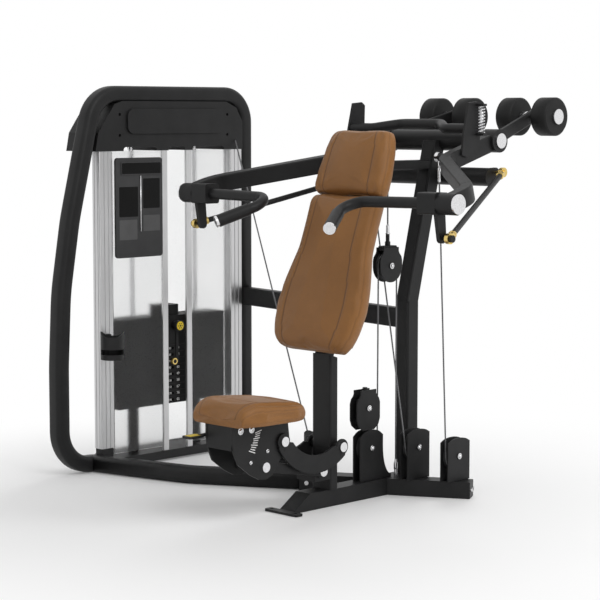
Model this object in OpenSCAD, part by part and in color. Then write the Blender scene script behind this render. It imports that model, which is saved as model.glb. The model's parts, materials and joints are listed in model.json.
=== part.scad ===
// Selectorised shoulder press station: weight tower, seat, pads and two press arms on parallel links.
// The user faces -Y, +X is the user's left, the floor is z = 0 and the origin lies under the seat post.

/* [Base] */
// Height of the floor rails
rail_h = 60; // [50:1:70]
// Width of the floor rails
rail_w = 70; // [60:1:76]
// Turn of the diagonal rail from the X direction
rail_yaw = 30; // [26:1:34]
// Length of the diagonal rail behind the seat beam
rail_rear_len = 325; // [300:1:350]
// Length of the diagonal rail in front of the seat beam
rail_front_len = 300; // [290:1:330]
// Forward reach of the seat beam from the post
beam_front = 110; // [100:1:150]
// Length of the ramp at the front of the seat beam
ramp_len = 78; // [60:1:95]
// Width of the front foot plate
foot_w = 160; // [140:1:190]
// Bore of the floor anchor holes
anchor_d = 13; // [10:0.5:16]

/* [Uprights] */
// Width of the seat post
post_w = 90; // [80:1:94]
// Depth of the seat post
post_l = 40; // [36:1:46]
// Distance of the rear upright behind the post
upright_y = 430; // [415:1:440]
// Width of the rear upright
upright_w = 60; // [50:1:66]
// Depth of the rear upright
upright_l = 62; // [50:1:68]
// Height at which the rear upright starts to lean
lean_z = 697; // [660:1:720]
// Diameter of the rear cross tube
cross_d = 66; // [58:1:70]
// Height of the middle crossbar
bar_z = 630; // [600:1:650]
// Height of the middle crossbar's section
bar_h = 72; // [60:1:80]
// Thickness of the middle crossbar's section
bar_t = 40; // [34:1:46]

/* [Tower] */
// Distance of the tower front from the seat post
tower_reach = 1050; // [1030:1:1120]
// Height of the tower columns above the floor
column_top = 1232; // [1200:1:1260]
// Width of a tower column
column_w = 64; // [56:1:68]
// Depth of a tower column
column_l = 46; // [40:1:50]
// Diameter of the hoop tube
hoop_d = 56; // [48:1:58]
// Rise of the hoop's top centre line above the columns
hoop_rise = 220; // [200:1:250]
// Width of the viewing slot
slot_w = 98; // [90:1:110]
// Height of the placard
placard_h = 386; // [360:1:400]
// Thickness of the frosted shrouds
shroud_t = 4; // [3:0.5:5]

/* [Stack] */
// Number of weight plates below the head plate
plate_n = 9; // [6:1:9]
// Thickness of one plate with its gap
plate_pitch = 26; // [24:0.5:26]
// Gap between neighbouring plates
plate_gap = 0.6; // [0.4:0.1:1.5]
// Width of a plate
plate_w = 560; // [520:1:570]
// Depth of a plate
plate_l = 104; // [96:1:108]
// Distance between the guide rods
rod_pitch = 330; // [300:1:350]
// Diameter of a guide rod
rod_d = 20; // [16:1:22]
// Running clearance on the guide rods, radial
rod_play = 0.1; // [0.05:0.01:0.3]
// Height of the stack's resting face
stack_z = 222; // [200:1:240]
// Diameter of the selector pin
pin_d = 10; // [8:0.5:11]

/* [Pads] */
// Recline of the back pads from vertical
recline = 19.6; // [17:0.2:21]
// Length of the lower back pad
back_len = 560; // [540:1:580]
// Widest width of the lower back pad
back_w = 400; // [360:1:420]
// Width of the lower back pad at its top
back_top_w = 320; // [290:1:340]
// Thickness of the back pads
pad_t = 76; // [66:1:82]
// Length of the head pad
head_len = 236; // [220:1:246]
// Width of the head pad
head_w = 330; // [290:1:350]
// Width of the seat cushion
seat_w = 310; // [280:1:340]
// Length of the seat cushion
seat_len = 290; // [270:1:300]
// Thickness of the seat cushion
seat_t = 72; // [60:1:80]

/* [Seat lift] */
// Thickness of the swing arms
swing_t = 10; // [8:0.5:12]
// Diameter of the seat lift pins
lift_pin_d = 20; // [16:0.5:24]
// Running clearance on pins, radial
pin_play = 0.05; // [0.02:0.01:0.1]

/* [Press arms] */
// Distance of the main pivot hubs from the middle
hub_x = 255; // [250:1:262]
// Diameter of the main pivot hubs
hub_d = 84; // [76:1:90]
// Length of the main pivot hubs
hub_l = 64; // [56:1:66]
// Diameter of the main pivot shaft
shaft_d = 40; // [34:1:44]
// Distance of the handle pivots from the middle
grip_hub_x = 622; // [612:1:640]
// Width of the arm beam
beam_w = 42; // [36:1:46]
// Height of the arm beam
beam_h = 62; // [54:1:66]
// Drop of the link joints below the pivots
link_drop = 113; // [108:1:120]
// Diameter of the link rods
link_d = 20; // [16:1:24]
// Diameter of the handle tube
handle_d = 38; // [32:1:40]
// Diameter of the grip sleeve
grip_d = 44; // [41:1:48]
// Diameter of a counterweight disc
disc_d = 142; // [130:1:150]
// Thickness of a counterweight disc
disc_t = 72; // [60:1:76]

/* [Cables] */
// Diameter of the cables
cable_d = 6; // [5:0.5:7]
// Diameter of the pulley wheels
wheel_d = 104; // [90:1:108]
// Thickness of the pulley wheels
wheel_t = 24; // [20:1:26]
// Clear width between pulley cheeks
cheek_gap = 28; // [27:1:34]
// Diameter of the pulley axles
axle_d = 14; // [12:0.5:16]

/* [Springs] */
// Curls in one latch spring
spring_n = 9; // [6:1:10]
// Outside diameter of a latch spring
spring_od = 28; // [24:1:30]
// Wire diameter of a latch spring
spring_wire = 3.2; // [2.5:0.1:4]

/* [Hidden] */
$fn = 48;
seat_gap = 0.3;
SIDES = [1, -1];
black = [0.09, 0.09, 0.09];
dark = [0.14, 0.14, 0.14];
silver = [0.78, 0.78, 0.78];
leather = [0.62, 0.38, 0.18];
zinc = [0.85, 0.68, 0.25];
frost = [0.92, 0.92, 0.92];

function unit(v) = v / norm(v);
function flip(p, s) = [s * p.x, p.y, p.z];

// Lap of a bend into its straights, in degrees for a radius of 1, and how much thinner it is there
bend_lap = 60;
bend_ease = 0.5;

// Base places
rail_y = 305;
beam_rear = 472;
foot_t = 8;
foot_l = 34;
anchor_x = foot_w / 2 - 22;
sleeve_l = 92;
sleeve_wall = 4;
sleeve_end_t = 8;
rail_dir = [cos(rail_yaw), sin(rail_yaw), 0];
sleeve_end = [0, rail_y, 0] - rail_front_len * rail_dir;

// Upright places
pivot_y = 603;
pivot_z = 1278;
lean_top = [0, pivot_y - 52, pivot_z - 91];
lean_dir = unit(lean_top - [0, upright_y, lean_z]);
pivot_tube_d = 76;
pivot_tube_x = hub_x - hub_l / 2 - seat_gap;
shaft_end_x = hub_x + hub_l / 2 + seat_gap;
cap_t = 7;
cross_z = 1148;
cross_half = 248;
yoke_z = 1190;
yoke_y = 218;
yoke_h = 34;
yoke_w = 52;

// Pad frame: local z runs up the spine, local -y points out of the pads
spine_y = -30.5;
spine_z = 522;
spine_w = 60;
spine_l = 40;
spine_bottom = 20;
spine_top = 720;
board_t = 14;
board_edge = 28;
board_places = [0.05, 0.14, 0.27, 0.4, 0.52, 0.64, 0.95];
back_s = 22;
head_s = back_s + back_len + 4;
seam_groove = 3.2;
back_widths = [[0, 0.76 * back_w], [0.06, 0.88 * back_w], [0.14, 0.95 * back_w], [0.27, back_w], [0.4, 0.96 * back_w],
               [0.52, 0.5 * back_w + 0.48 * back_top_w], [0.64, back_top_w], [0.8, back_top_w - 4], [1, back_top_w]];

// Tower places
tower_x = -tower_reach;
slot_y = 235;
front_col_y = -155;
rear_col_y = 526;
col_z = 85;
trim_w = 28;
trim_l = 12;
shroud_lo = 60;
hoop_x = tower_x - hoop_d / 2;
hoop_z = column_top + hoop_rise;
hoop_rear_y = rear_col_y + column_w + hoop_d / 2 + seat_gap;
hoop_front_y = -140;
hoop_knee = [-392, 790];
hoop_r = 110;
rear_depth = 180;

// Stack places
plate_x = tower_x - 30 - plate_l / 2;
head_z = stack_z + plate_n * plate_pitch;
head_h = 118;
neck_h = 42;
neck_w = 92;
rod_top = column_top + 60;
stack_pin_row = 2;
selector_d = 24;
bumper_d = 44;
knob_z = head_z + 78;
knob_y = slot_y + 12;
pin_height = stack_z + (plate_n - stack_pin_row - 1) * plate_pitch + (plate_pitch - plate_gap) / 2;

// Seat lift places, in the middle plane
lift_a = [0, 10, 215];
lift_b = [0, -70, 136];
lift_reach = [0, -286, 54];
swing_x = post_w / 2 + 3 + swing_t / 2;
plate_seat_x = swing_x + swing_t / 2 + seat_gap;
seat_plate_t = 8;
curve_x = plate_seat_x + seat_plate_t + seat_gap + swing_t / 2;
swing_sag = 70;
swing_belly = 64;
seat_y = -370;
seat_z = 344;
swing_h = 44;
lever_y = seat_y - 70;
lever_z = 306;

// Press arm places, on the +X side
arm_pivot = [hub_x, pivot_y, pivot_z];
grip_pivot = [grip_hub_x, -66, 1085];
grip_hub_d = 72;
grip_hub_l = 66;
grip_shaft_d = 30;
block_l = 78;
link_offset = [0, 12, -link_drop];
link_rear = [290, pivot_y, pivot_z] + link_offset;
link_front = [612, grip_pivot.y, grip_pivot.z] + link_offset;
rod_end_d = 34;
rod_end_t = 14;
link_pin_d = 12;
disc_mid = [190, 905, 1364];
disc_off = 82;
disc_bar_t = 14;
handle_in = [162, grip_pivot.y - 6, 1080];
grip_tip = [272, -258, 1002];
grip_bend_r = 62;
grip_len = 118;
arm_slope = (grip_pivot.z - pivot_z) / (grip_pivot.y - pivot_y);
function arm_z(y) = pivot_z + arm_slope * (y - pivot_y);
elbow_y = 335;
reach_y = 34;
arm_path = [arm_pivot, [hub_x, elbow_y, arm_z(elbow_y)], [grip_hub_x, reach_y, arm_z(reach_y)], grip_pivot];
arm_bend_r = 90;
stub_d = 28;
stub_l = 96;
stub_y = elbow_y + 70;
anchor_pt = [hub_x - stub_l, stub_y, arm_z(stub_y)];
lever_sweep = 75;
disc_axle_d = 20;
spacer_l = disc_off - disc_t / 2 - 13;

// Latch places, on the +X side
latch_t = 8;
latch_x = hub_x + beam_w / 2 + seat_gap + latch_t / 2;
latch_tube_d = 37;
latch_mid = [latch_x, 430, 1322];
latch_back = [96, 500, 1338];
latch_bend_x = 176;
spring_at = [latch_x + latch_t / 2 + spring_od / 2 + 2, latch_mid.y + 50, latch_mid.z - 16];
spring_len = 96;

// Pulley places: [x, y, axle height]
floor_wheels = [[0, 222, 178], [100, rail_y + 100 * tan(rail_yaw), 176],
                [228, rail_y + 228 * tan(rail_yaw), 150], [-232, rail_y - 226 * tan(rail_yaw) + 10, 150]];
float_at = [20, 300, 832];
upper_at = [0, 205, 324];
cheek_head = 66;
stud_l = 40;
groove_r = wheel_d / 2 - cable_d / 2 - 0.6;
run_in = groove_r + 2;
main_run = [tower_x - floor_wheels[3].x, rear_col_y - floor_wheels[3].y];
floor_yaws = [0, 0, 0, atan2(-main_run[0], main_run[1])];
floor_seats = [rail_h, rail_h, rail_h, rail_h + sleeve_wall + seat_gap];
cheek_t = 5;
cheek_w = 84;

// Pieces shared by several nodes

// Rounded rectangle centred on the origin
module rrect(w, h, r) {
    square([w - 2 * r, h], center = true);
    square([w, h - 2 * r], center = true);
    for (x = [-1, 1], y = [-1, 1])
        translate([x * (w / 2 - r), y * (h / 2 - r)])
            circle(r);
}

// Round bar between two points
module rod(p, q, d) {
    v = q - p;
    translate(p)
        rotate([0, acos(v.z / norm(v)), atan2(v.y, v.x)])
            cylinder(d = d, h = norm(v));
}

// Rounded rectangular bar between two points, w level and h upright
module box_bar(p, q, w, h, r = 6) {
    v = q - p;
    translate(p)
        rotate([0, 90 - asin(v.z / norm(v)), atan2(v.y, v.x)])
            linear_extrude(norm(v))
                rrect(h, w, r);
}

// Bar along X between two places
module pin_x(x0, x1, y, z, d) {
    translate([x0, y, z])
        rotate([0, 90, 0])
            cylinder(d = d, h = x1 - x0);
}

// Rigid placement by an origin and three axes
module axes(o, ex, ey, ez)
    multmatrix([[ex.x, ey.x, ez.x, o.x], [ex.y, ey.y, ez.y, o.y], [ex.z, ey.z, ez.z, o.z], [0, 0, 0, 1]])
        children();

// Trim of a straight run at a corner of a bent tube
function bend_trim(a, b, c, r) =
    let (turn = acos(unit(a - b) * unit(c - b)))
    r / tan(turn / 2);

// Tube along a list of points, with each corner bent to radius r; a bend runs on a little inside its straights
module bent_tube(pts, d, r) {
    n = len(pts);
    for (i = [0 : n - 2]) {
        u = unit(pts[i + 1] - pts[i]);
        lead = i == 0 ? 0 : bend_trim(pts[i - 1], pts[i], pts[i + 1], r);
        tail = i == n - 2 ? 0 : bend_trim(pts[i], pts[i + 1], pts[i + 2], r);
        rod(pts[i] + lead * u, pts[i + 1] - tail * u, d);
    }
    if (n > 2)
        for (i = [1 : n - 2]) {
            to_a = unit(pts[i - 1] - pts[i]);
            to_c = unit(pts[i + 1] - pts[i]);
            turn = acos(to_a * to_c);
            centre = pts[i] + unit(to_a + to_c) * r / sin(turn / 2);
            start = pts[i] + to_a * r / tan(turn / 2);
            ex = unit(start - centre);
            ey = -to_a;
            axes(centre, ex, ey, cross(ex, ey))
                rotate([0, 0, -bend_lap / r])
                    rotate_extrude(angle = 180 - turn + 2 * bend_lap / r)
                        translate([r, 0])
                            circle(d = d - bend_ease);
        }
}

// Rectangular bar through points that lie in one plane, w across and h square to the plane
module bent_bar(pts, w, h, r, edge = 6) {
    n = len(pts);
    up = unit(cross(pts[0] - pts[1], pts[2] - pts[1]));
    for (i = [0 : n - 2]) {
        u = unit(pts[i + 1] - pts[i]);
        lead = i == 0 ? 0 : bend_trim(pts[i - 1], pts[i], pts[i + 1], r);
        tail = i == n - 2 ? 0 : bend_trim(pts[i], pts[i + 1], pts[i + 2], r);
        axes(pts[i] + lead * u, cross(up, u), up, u)
            linear_extrude(norm(pts[i + 1] - pts[i]) - lead - tail)
                rrect(w, h, edge);
    }
    for (i = [1 : n - 2]) {
        to_a = unit(pts[i - 1] - pts[i]);
        to_c = unit(pts[i + 1] - pts[i]);
        turn = acos(to_a * to_c);
        centre = pts[i] + unit(to_a + to_c) * r / sin(turn / 2);
        ex = unit(pts[i] + to_a * r / tan(turn / 2) - centre);
        axes(centre, ex, -to_a, cross(ex, -to_a))
            rotate([0, 0, -bend_lap / r])
                rotate_extrude(angle = 180 - turn + 2 * bend_lap / r)
                    translate([r, 0])
                        rrect(w - bend_ease, h - bend_ease, edge);
    }
}

// Placement in the pads' own frame
module on_spine()
    translate([0, spine_y, spine_z])
        rotate([-recline, 0, 0])
            children();

// One ring of a pad: flat back, drawn-in sides, crowned front with two sewn seams
function pad_ring(w, t, crown, z, seam) =
    let (h = w / 2, s = seam * w)
    [for (p = [[-h + 12, 0], [-h + 4, 0.3 * t], [-h, 0.62 * t], [-h + 9, 0.9 * t], [-h + 26, t + 0.2 * crown],
               [-s - 5, t + 0.45 * crown], [-s, t + 0.45 * crown - seam_groove], [-s + 5, t + 0.5 * crown],
               [-0.2 * w, t + 0.85 * crown], [0, t + crown], [0.2 * w, t + 0.85 * crown],
               [s - 5, t + 0.5 * crown], [s, t + 0.45 * crown - seam_groove], [s + 5, t + 0.45 * crown],
               [h - 26, t + 0.2 * crown], [h - 9, 0.9 * t], [h, 0.62 * t], [h - 4, 0.3 * t], [h - 12, 0]])
        [p.x, -p.y, z]];

// Closed skin over rings of equal length
module skin(rings) {
    m = len(rings[0]);
    n = len(rings);
    sides = [for (i = [0 : n - 2], j = [0 : m - 1])
                 let (a = i * m + j, b = i * m + (j + 1) % m)
                 each [[a, b, a + m], [b, b + m, a + m]]];
    polyhedron([for (r = rings) each r],
               concat([[for (j = [m - 1 : -1 : 0]) j]], sides, [[for (j = [0 : m - 1]) (n - 1) * m + j]]));
}

// Pad along z from 0 to its length, its width given by a list of [place, width]
module pad(length, widths, t, crown, seam) {
    stations = [0, 0.012, 0.04, 0.1, 0.18, 0.28, 0.4, 0.52, 0.64, 0.74, 0.83, 0.91, 0.96, 0.988, 1];
    function fall(u) = let (e = min(u, 1 - u) / 0.05) e >= 1 ? 1 : sqrt(1 - (1 - e) * (1 - e)) * 0.42 + 0.58;
    skin([for (u = stations)
              pad_ring(lookup(u, widths) - 22 * (1 - fall(u)), t * fall(u), crown * sin(180 * u), length * u, seam)]);
}

// Pulley wheel with a rope groove, axis along X
module wheel() {
    rim = wheel_d / 2;
    rotate([0, 90, 0])
        rotate_extrude()
            polygon([[axle_d / 2 + pin_play, -wheel_t / 2], [rim, -wheel_t / 2], [rim, -wheel_t / 2 + 3],
                     [rim - cable_d - 1, -cable_d / 2], [rim - cable_d - 1, cable_d / 2], [rim, wheel_t / 2 - 3],
                     [rim, wheel_t / 2], [axle_d / 2 + pin_play, wheel_t / 2]]);
}

// Two cheeks with an axle; foot is how far the cheeks reach below the axle, head how far above
module cheeks(foot, head) {
    for (s = SIDES)
        translate([s * (cheek_gap / 2 + cheek_t / 2), 0, 0])
            rotate([90, 0, 90])
                linear_extrude(cheek_t, center = true) {
                    translate([-cheek_w / 2, -foot])
                        square([cheek_w, foot + head - cheek_w / 2]);
                    translate([0, head - cheek_w / 2])
                        circle(d = cheek_w);
                }
    pin_x(-cheek_gap / 2 - cheek_t - 4, cheek_gap / 2 + cheek_t + 4, 0, 0, axle_d);
}

// Base pieces

module seat_beam() color(black) difference() {
    union() {
        translate([-rail_w / 2, -beam_front, 0])
            cube([rail_w, beam_front + beam_rear, rail_h]);
        translate([0, -beam_front, 0])
            rotate([90, 0, -90])
                linear_extrude(rail_w, center = true)
                    polygon([[0, 0], [0, rail_h], [ramp_len, foot_t], [ramp_len, 0]]);
        translate([0, -beam_front - ramp_len - foot_l / 2, 0])
            linear_extrude(foot_t)
                rrect(foot_w, foot_l, 8);
    }
    for (s = SIDES)
        translate([s * anchor_x, -beam_front - ramp_len - foot_l / 2, -1])
            cylinder(d = anchor_d, h = foot_t + 2);
}

// Run of the diagonal rail on one side of the seat beam
module rail_run(from, to)
    difference() {
        translate([0, rail_y, 0])
            rotate([0, 0, rail_yaw])
                translate([from, -rail_w / 2, 0])
                    cube([to - from, rail_w, rail_h]);
        translate([-rail_w / 2, -beam_front, -1])
            cube([rail_w, beam_front + beam_rear, rail_h + 2]);
    }

module diagonal_rail() {
    color(black) rail_run(0, rail_rear_len);
    color(black) rail_run(-rail_front_len, 0);
    color(dark)
        translate([0, rail_y, 0])
            rotate([0, 0, rail_yaw])
                translate([-rail_front_len, 0, 0])
                    difference() {
                        translate([-sleeve_end_t, -rail_w / 2 - sleeve_wall - seat_gap, 0])
                            cube([sleeve_l, rail_w + 2 * sleeve_wall + 2 * seat_gap,
                                  rail_h + sleeve_wall + seat_gap]);
                        translate([-seat_gap, -rail_w / 2 - seat_gap, -1])
                            cube([sleeve_l, rail_w + 2 * seat_gap, rail_h + 1 + seat_gap]);
                    }
}

module seat_post() color(black) {
    difference() {
        union() {
            translate([0, 0, rail_h])
                linear_extrude(spine_z + 38 - rail_h)
                    rrect(post_w, post_l, 8);
            pin_x(-curve_x + swing_t / 2 + seat_gap, curve_x - swing_t / 2 - seat_gap, lift_a.y, lift_a.z, 34);
        }
        on_spine()
            translate([-post_w, -120, spine_bottom])
                cube([2 * post_w, 300, 300]);
        pin_x(-post_w, post_w, lift_a.y, lift_a.z, lift_pin_d + 2 * pin_play);
    }
    difference() {
        translate([-post_w / 2, lift_b.y - 26, lift_b.z - 36])
            cube([post_w, 27 - post_l / 2 - lift_b.y, 72]);
        pin_x(-post_w, post_w, lift_b.y, lift_b.z, lift_pin_d + 2 * pin_play);
    }
}

module rear_upright() color(black) {
    difference() {
        union() {
            translate([0, upright_y, rail_h])
                linear_extrude(lean_z - rail_h)
                    rrect(upright_w, upright_l, 8);
            translate([0, upright_y, lean_z])
                rotate([-atan2(lean_dir.y, lean_dir.z), 0, 0])
                    translate([0, 0, -8])
                        linear_extrude(620)
                            rrect(upright_w, upright_l, 8);
        }
        pin_x(-upright_w, upright_w, pivot_y, pivot_z, pivot_tube_d + 2 * seat_gap);
        translate([-upright_w, pivot_y - 150, pivot_z])
            cube([2 * upright_w, 300, 150]);
        pin_x(-upright_w, upright_w, cross_y(), cross_z, cross_d + 2 * seat_gap);
    }
}

// The cross tube lies half sunk in the back of the leaning upright
function lean_y(z) = upright_y + (z - lean_z) * lean_dir.y / lean_dir.z;
function cross_y() = lean_y(cross_z) + upright_l / 2 + cross_d / 4;

module cross_tube() color(black) {
    pin_x(-cross_half, cross_half, cross_y(), cross_z, cross_d);
    for (s = SIDES)
        difference() {
            hull() {
                translate([s * (cross_half + 6), cross_y(), cross_z])
                    rotate([0, 90, 0])
                        cylinder(d = cross_d, h = 12, center = true, $fn = 32);
                translate([s * (cross_half + 6), link_rear.y, link_rear.z])
                    rotate([0, 90, 0])
                        cylinder(d = rod_end_d, h = 12, center = true, $fn = 32);
            }
            pin_x(-400, 400, link_rear.y, link_rear.z, link_pin_d + 2 * pin_play);
        }
}

module pivot_tube() color(black) difference() {
    pin_x(-pivot_tube_x, pivot_tube_x, pivot_y, pivot_z, pivot_tube_d);
    pin_x(-400, 400, pivot_y, pivot_z, shaft_d + 2 * pin_play);
}

module pivot_shaft() color(silver) {
    pin_x(-shaft_end_x, shaft_end_x, pivot_y, pivot_z, shaft_d);
    for (s = SIDES)
        translate([s * (shaft_end_x + cap_t / 2), pivot_y, pivot_z])
            rotate([0, 90, 0])
                cylinder(d = shaft_d + 14, h = cap_t, center = true);
}

module crossbar() color(black) difference() {
    box_bar([hoop_x, hoop_rear_y, bar_z], [0, upright_y, bar_z], bar_t, bar_h);
    translate([-upright_w / 2, upright_y - 100, bar_z - bar_h])
        cube([100, 200, 2 * bar_h]);
    translate([hoop_x, hoop_rear_y, bar_z - bar_h])
        cylinder(d = hoop_d + 2 * seat_gap, h = 2 * bar_h);
    translate([hoop_x - 60, hoop_rear_y - 60, bar_z - bar_h])
        cube([60, 120, 2 * bar_h]);
}

module pad_spine() color(black) {
    on_spine()
        translate([0, spine_l / 2, spine_bottom])
            linear_extrude(spine_top - spine_bottom)
                rrect(spine_w, spine_l, 6);
    difference() {
        translate([0, 0, yoke_z])
            rotate([-90, 0, 0])
                translate([0, 0, yoke_y])
                    linear_extrude(lean_y(yoke_z) - yoke_y)
                        rrect(yoke_w, yoke_h, 5);
        translate([0, upright_y, lean_z])
            rotate([-atan2(lean_dir.y, lean_dir.z), 0, 0])
                translate([-upright_w, -upright_l / 2, -50])
                    cube([2 * upright_w, 300, 900]);
    }
}

// Tower pieces

module tower_hoop() color(black)
    bent_tube([[hoop_x, hoop_rear_y, 0], [hoop_x, hoop_rear_y, hoop_z], [hoop_x, hoop_front_y, hoop_z],
               [hoop_x, hoop_knee[0], hoop_knee[1]], [hoop_x, hoop_knee[0], hoop_d / 2],
               [hoop_x, -195, hoop_d / 2], [-640, rail_y - 640 * tan(rail_yaw), hoop_d / 2],
               [sleeve_end.x, sleeve_end.y, hoop_d / 2] - (sleeve_end_t + seat_gap) * rail_dir], hoop_d, hoop_r);

module tower_base() color(dark) {
    difference() {
        translate([0, 0, 8])
            linear_extrude(34)
                polygon([[tower_x + 8, front_col_y + 4], [tower_x + 8, rear_col_y + column_w - 4],
                         [tower_x - column_l, rear_col_y + column_w - 4],
                         [tower_x - rear_depth, rear_col_y - 6], [tower_x - rear_depth, front_col_y + 130],
                         [tower_x - column_l - 62, front_col_y + 40], [tower_x - column_l - 62, front_col_y + 4]]);
        rods_cut(rod_d + 0.1);
    }
    for (y = [front_col_y, rear_col_y])
        translate([tower_x - column_l / 2, y + column_w / 2, 42])
            linear_extrude(col_z - 42)
                rrect(column_l, column_w - 8, 5);
    for (x = [tower_x - 12, tower_x - rear_depth + 40], y = [front_col_y + 150, rear_col_y - 90])
        translate([x, y, 0])
            cylinder(d = 40, h = 8);
}

module rods_cut(d)
    for (s = SIDES)
        translate([plate_x, slot_y + s * rod_pitch / 2, 20])
            cylinder(d = d, h = rod_top);

// Extruded column with two long grooves in its front face
module column(y)
    translate([tower_x - column_l, y, col_z])
        linear_extrude(column_top - col_z)
            difference() {
                translate([column_l / 2, column_w / 2])
                    rrect(column_l, column_w, 5);
                for (g = [0.34, 0.66])
                    translate([column_l - 2, column_w * g - 2])
                        square([3, 4]);
                for (g = [0.3, 0.7])
                    translate([column_l * g, -1])
                        square([3, 3]);
                translate([column_l / 2, column_w / 2])
                    rrect(column_l - 10, column_w - 10, 3);
            }

// Frosted front shroud between a column and a slot trim
module shroud(y0, y1) color(frost)
    translate([tower_x - shroud_t, y0 + seat_gap, shroud_lo])
        cube([shroud_t, y1 - y0 - 2 * seat_gap, column_top - shroud_lo]);

module front_shrouds() {
    shroud(front_col_y + column_w, slot_y - slot_w / 2 - trim_w);
    shroud(slot_y + slot_w / 2 + trim_w, rear_col_y);
}

module extrusions() color(silver) {
    column(front_col_y);
    column(rear_col_y);
    for (s = SIDES)
        translate([tower_x - trim_l / 2 + 3, slot_y + s * (slot_w + trim_w) / 2, 42])
            linear_extrude(column_top - 42)
                difference() {
                    rrect(trim_l, trim_w, 3);
                    translate([-trim_l / 2 - 1, -trim_w / 2 + 4])
                        square([trim_l / 2 + 0.5, trim_w - 8]);
                }
}

// Folded frosted tray that closes the back of the tower
module back_shroud() color(frost)
    translate([0, 0, 42])
        linear_extrude(column_top - 42)
            difference() {
                back_plan(0);
                back_plan(shroud_t);
            }

module back_plan(inset) {
    near = tower_x - column_l - seat_gap + (inset > 0 ? 1 : 0);
    polygon([[near, front_col_y + 8 + inset], [tower_x - rear_depth + 8 + inset, front_col_y + 128 + inset],
             [tower_x - rear_depth + 8 + inset, rear_col_y - 10 - inset],
             [near, rear_col_y + column_w - 8 - inset]]);
}

module tower_cap() color(black) difference() {
    union() {
        translate([tower_x + 4, 0, 0])
            rotate([0, -90, 0])
                linear_extrude(rear_depth)
                    cap_outline();
        translate([tower_x + 4, 0, 0])
            rotate([0, -90, 0])
                translate([0, 0, -9])
                    linear_extrude(10)
                        translate([(column_top + hoop_z) / 2 + 4, slot_y - 6])
                            rrect(96, 500, 30);
    }
    for (y = [front_col_y + 100, rear_col_y - 20], z = [column_top + 60, column_top + 140])
        translate([tower_x - 8, y, z])
            rotate([0, 90, 0])
                cylinder(d = 12, h = 20);
    rods_cut(rod_d + 0.1);
}

// Front view of the cap, first axis up and second along Y
module cap_outline() {
    top = hoop_z - hoop_d / 2 - seat_gap;
    difference() {
        polygon([[column_top, front_col_y - 20], [column_top + 70, front_col_y - 6], [top - 70, hoop_front_y + 16],
                 [top - 12, hoop_front_y + 60], [top, hoop_front_y + 100], [top, rear_col_y + column_w - 90],
                 [top - 24, rear_col_y + column_w - 34], [top - 80, rear_col_y + column_w],
                 [column_top, rear_col_y + column_w]]);
        for (y = [slot_y - slot_w / 2 - trim_w - 110, slot_y, slot_y + slot_w / 2 + trim_w + 90])
            translate([column_top, y])
                rrect(30, y == slot_y ? slot_w - 12 : 170, 12);
    }
}

module guide_rods() color(silver) {
    for (s = SIDES)
        translate([plate_x, slot_y + s * rod_pitch / 2, 20])
            cylinder(d = rod_d, h = column_top + 30 - 20);
}

module bumpers() color(dark)
    for (s = SIDES)
        translate([plate_x, slot_y + s * rod_pitch / 2, 42])
            difference() {
                cylinder(d = bumper_d, h = stack_z - 42 - seat_gap);
                translate([0, 0, -1])
                    cylinder(d = rod_d + 2 * rod_play, h = stack_z);
            }

// Flat plate with guide rod bores and the selector bore
module plate_blank(h, w)
    difference() {
        translate([plate_x, slot_y, 0])
            linear_extrude(h)
                difference() {
                    rrect(plate_l, w, 6);
                    for (s = SIDES)
                        translate([0, s * rod_pitch / 2])
                            circle(d = rod_d + 2 * rod_play);
                    circle(d = selector_d + 2);
                }
        translate([plate_x, slot_y, h / 2])
            rotate([0, 90, 0])
                cylinder(d = pin_d + 2, h = plate_l);
    }

module resting_plates() color(dark)
    for (i = [0 : plate_n - stack_pin_row - 2])
        translate([0, 0, stack_z + i * plate_pitch])
            plate_blank(plate_pitch - plate_gap, plate_w);

module lifted_plates() color(dark)
    for (i = [plate_n - stack_pin_row - 1 : plate_n - 1])
        translate([0, 0, stack_z + i * plate_pitch])
            plate_blank(plate_pitch - plate_gap, plate_w);

module head_plate() color(dark) {
    difference() {
        union() {
            translate([plate_x, slot_y, head_z])
                linear_extrude(head_h)
                    rrect(plate_l, plate_w, 6);
            translate([plate_x, slot_y, head_z + head_h - 1])
                linear_extrude(neck_h + 1)
                    rrect(plate_l - 24, neck_w, 8);
        }
        rods_cut(rod_d + 2 * rod_play);
        translate([plate_x, slot_y, head_z - 1])
            cylinder(d = selector_d + 2, h = 40);
        translate([plate_x + plate_l / 2 - 30, knob_y, knob_z])
            rotate([0, 90, 0])
                cylinder(d = 12 + 2 * pin_play, h = 60);
    }
}

module selector_rod() color(silver) difference() {
    translate([plate_x, slot_y, stack_z + plate_gap])
        cylinder(d = selector_d, h = head_z + 38.5 - stack_z - plate_gap);
    for (i = [0 : plate_n - 1])
        translate([plate_x - selector_d, slot_y, stack_z + i * plate_pitch + (plate_pitch - plate_gap) / 2])
            rotate([0, 90, 0])
                cylinder(d = pin_d + 2 * pin_play, h = 2 * selector_d);
}

module selector_pin() color(zinc) {
    face = plate_x + plate_l / 2;
    translate([plate_x + 2 - selector_d / 2, slot_y, pin_height])
        rotate([0, 90, 0])
            cylinder(d = pin_d, h = plate_l / 2 + selector_d / 2 + 6);
    translate([face + 1, slot_y, pin_height])
        rotate([0, 90, 0])
            cylinder(d = 26, h = 14);
}

module weight_knob() color(dark) {
    face = plate_x + plate_l / 2;
    translate([face - 28, knob_y, knob_z])
        rotate([0, 90, 0])
            cylinder(d = 12, h = 40);
    translate([face + 1, knob_y, knob_z])
        rotate([0, 90, 0])
            cylinder(d1 = 34, d2 = 44, h = 22);
    translate([face + 23, knob_y, knob_z])
        rotate([0, 90, 0])
            linear_extrude(10)
                difference() {
                    circle(d = 44);
                    for (a = [0 : 30 : 330])
                        rotate(a)
                            translate([24, 0])
                                circle(d = 6);
                }
}

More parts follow.
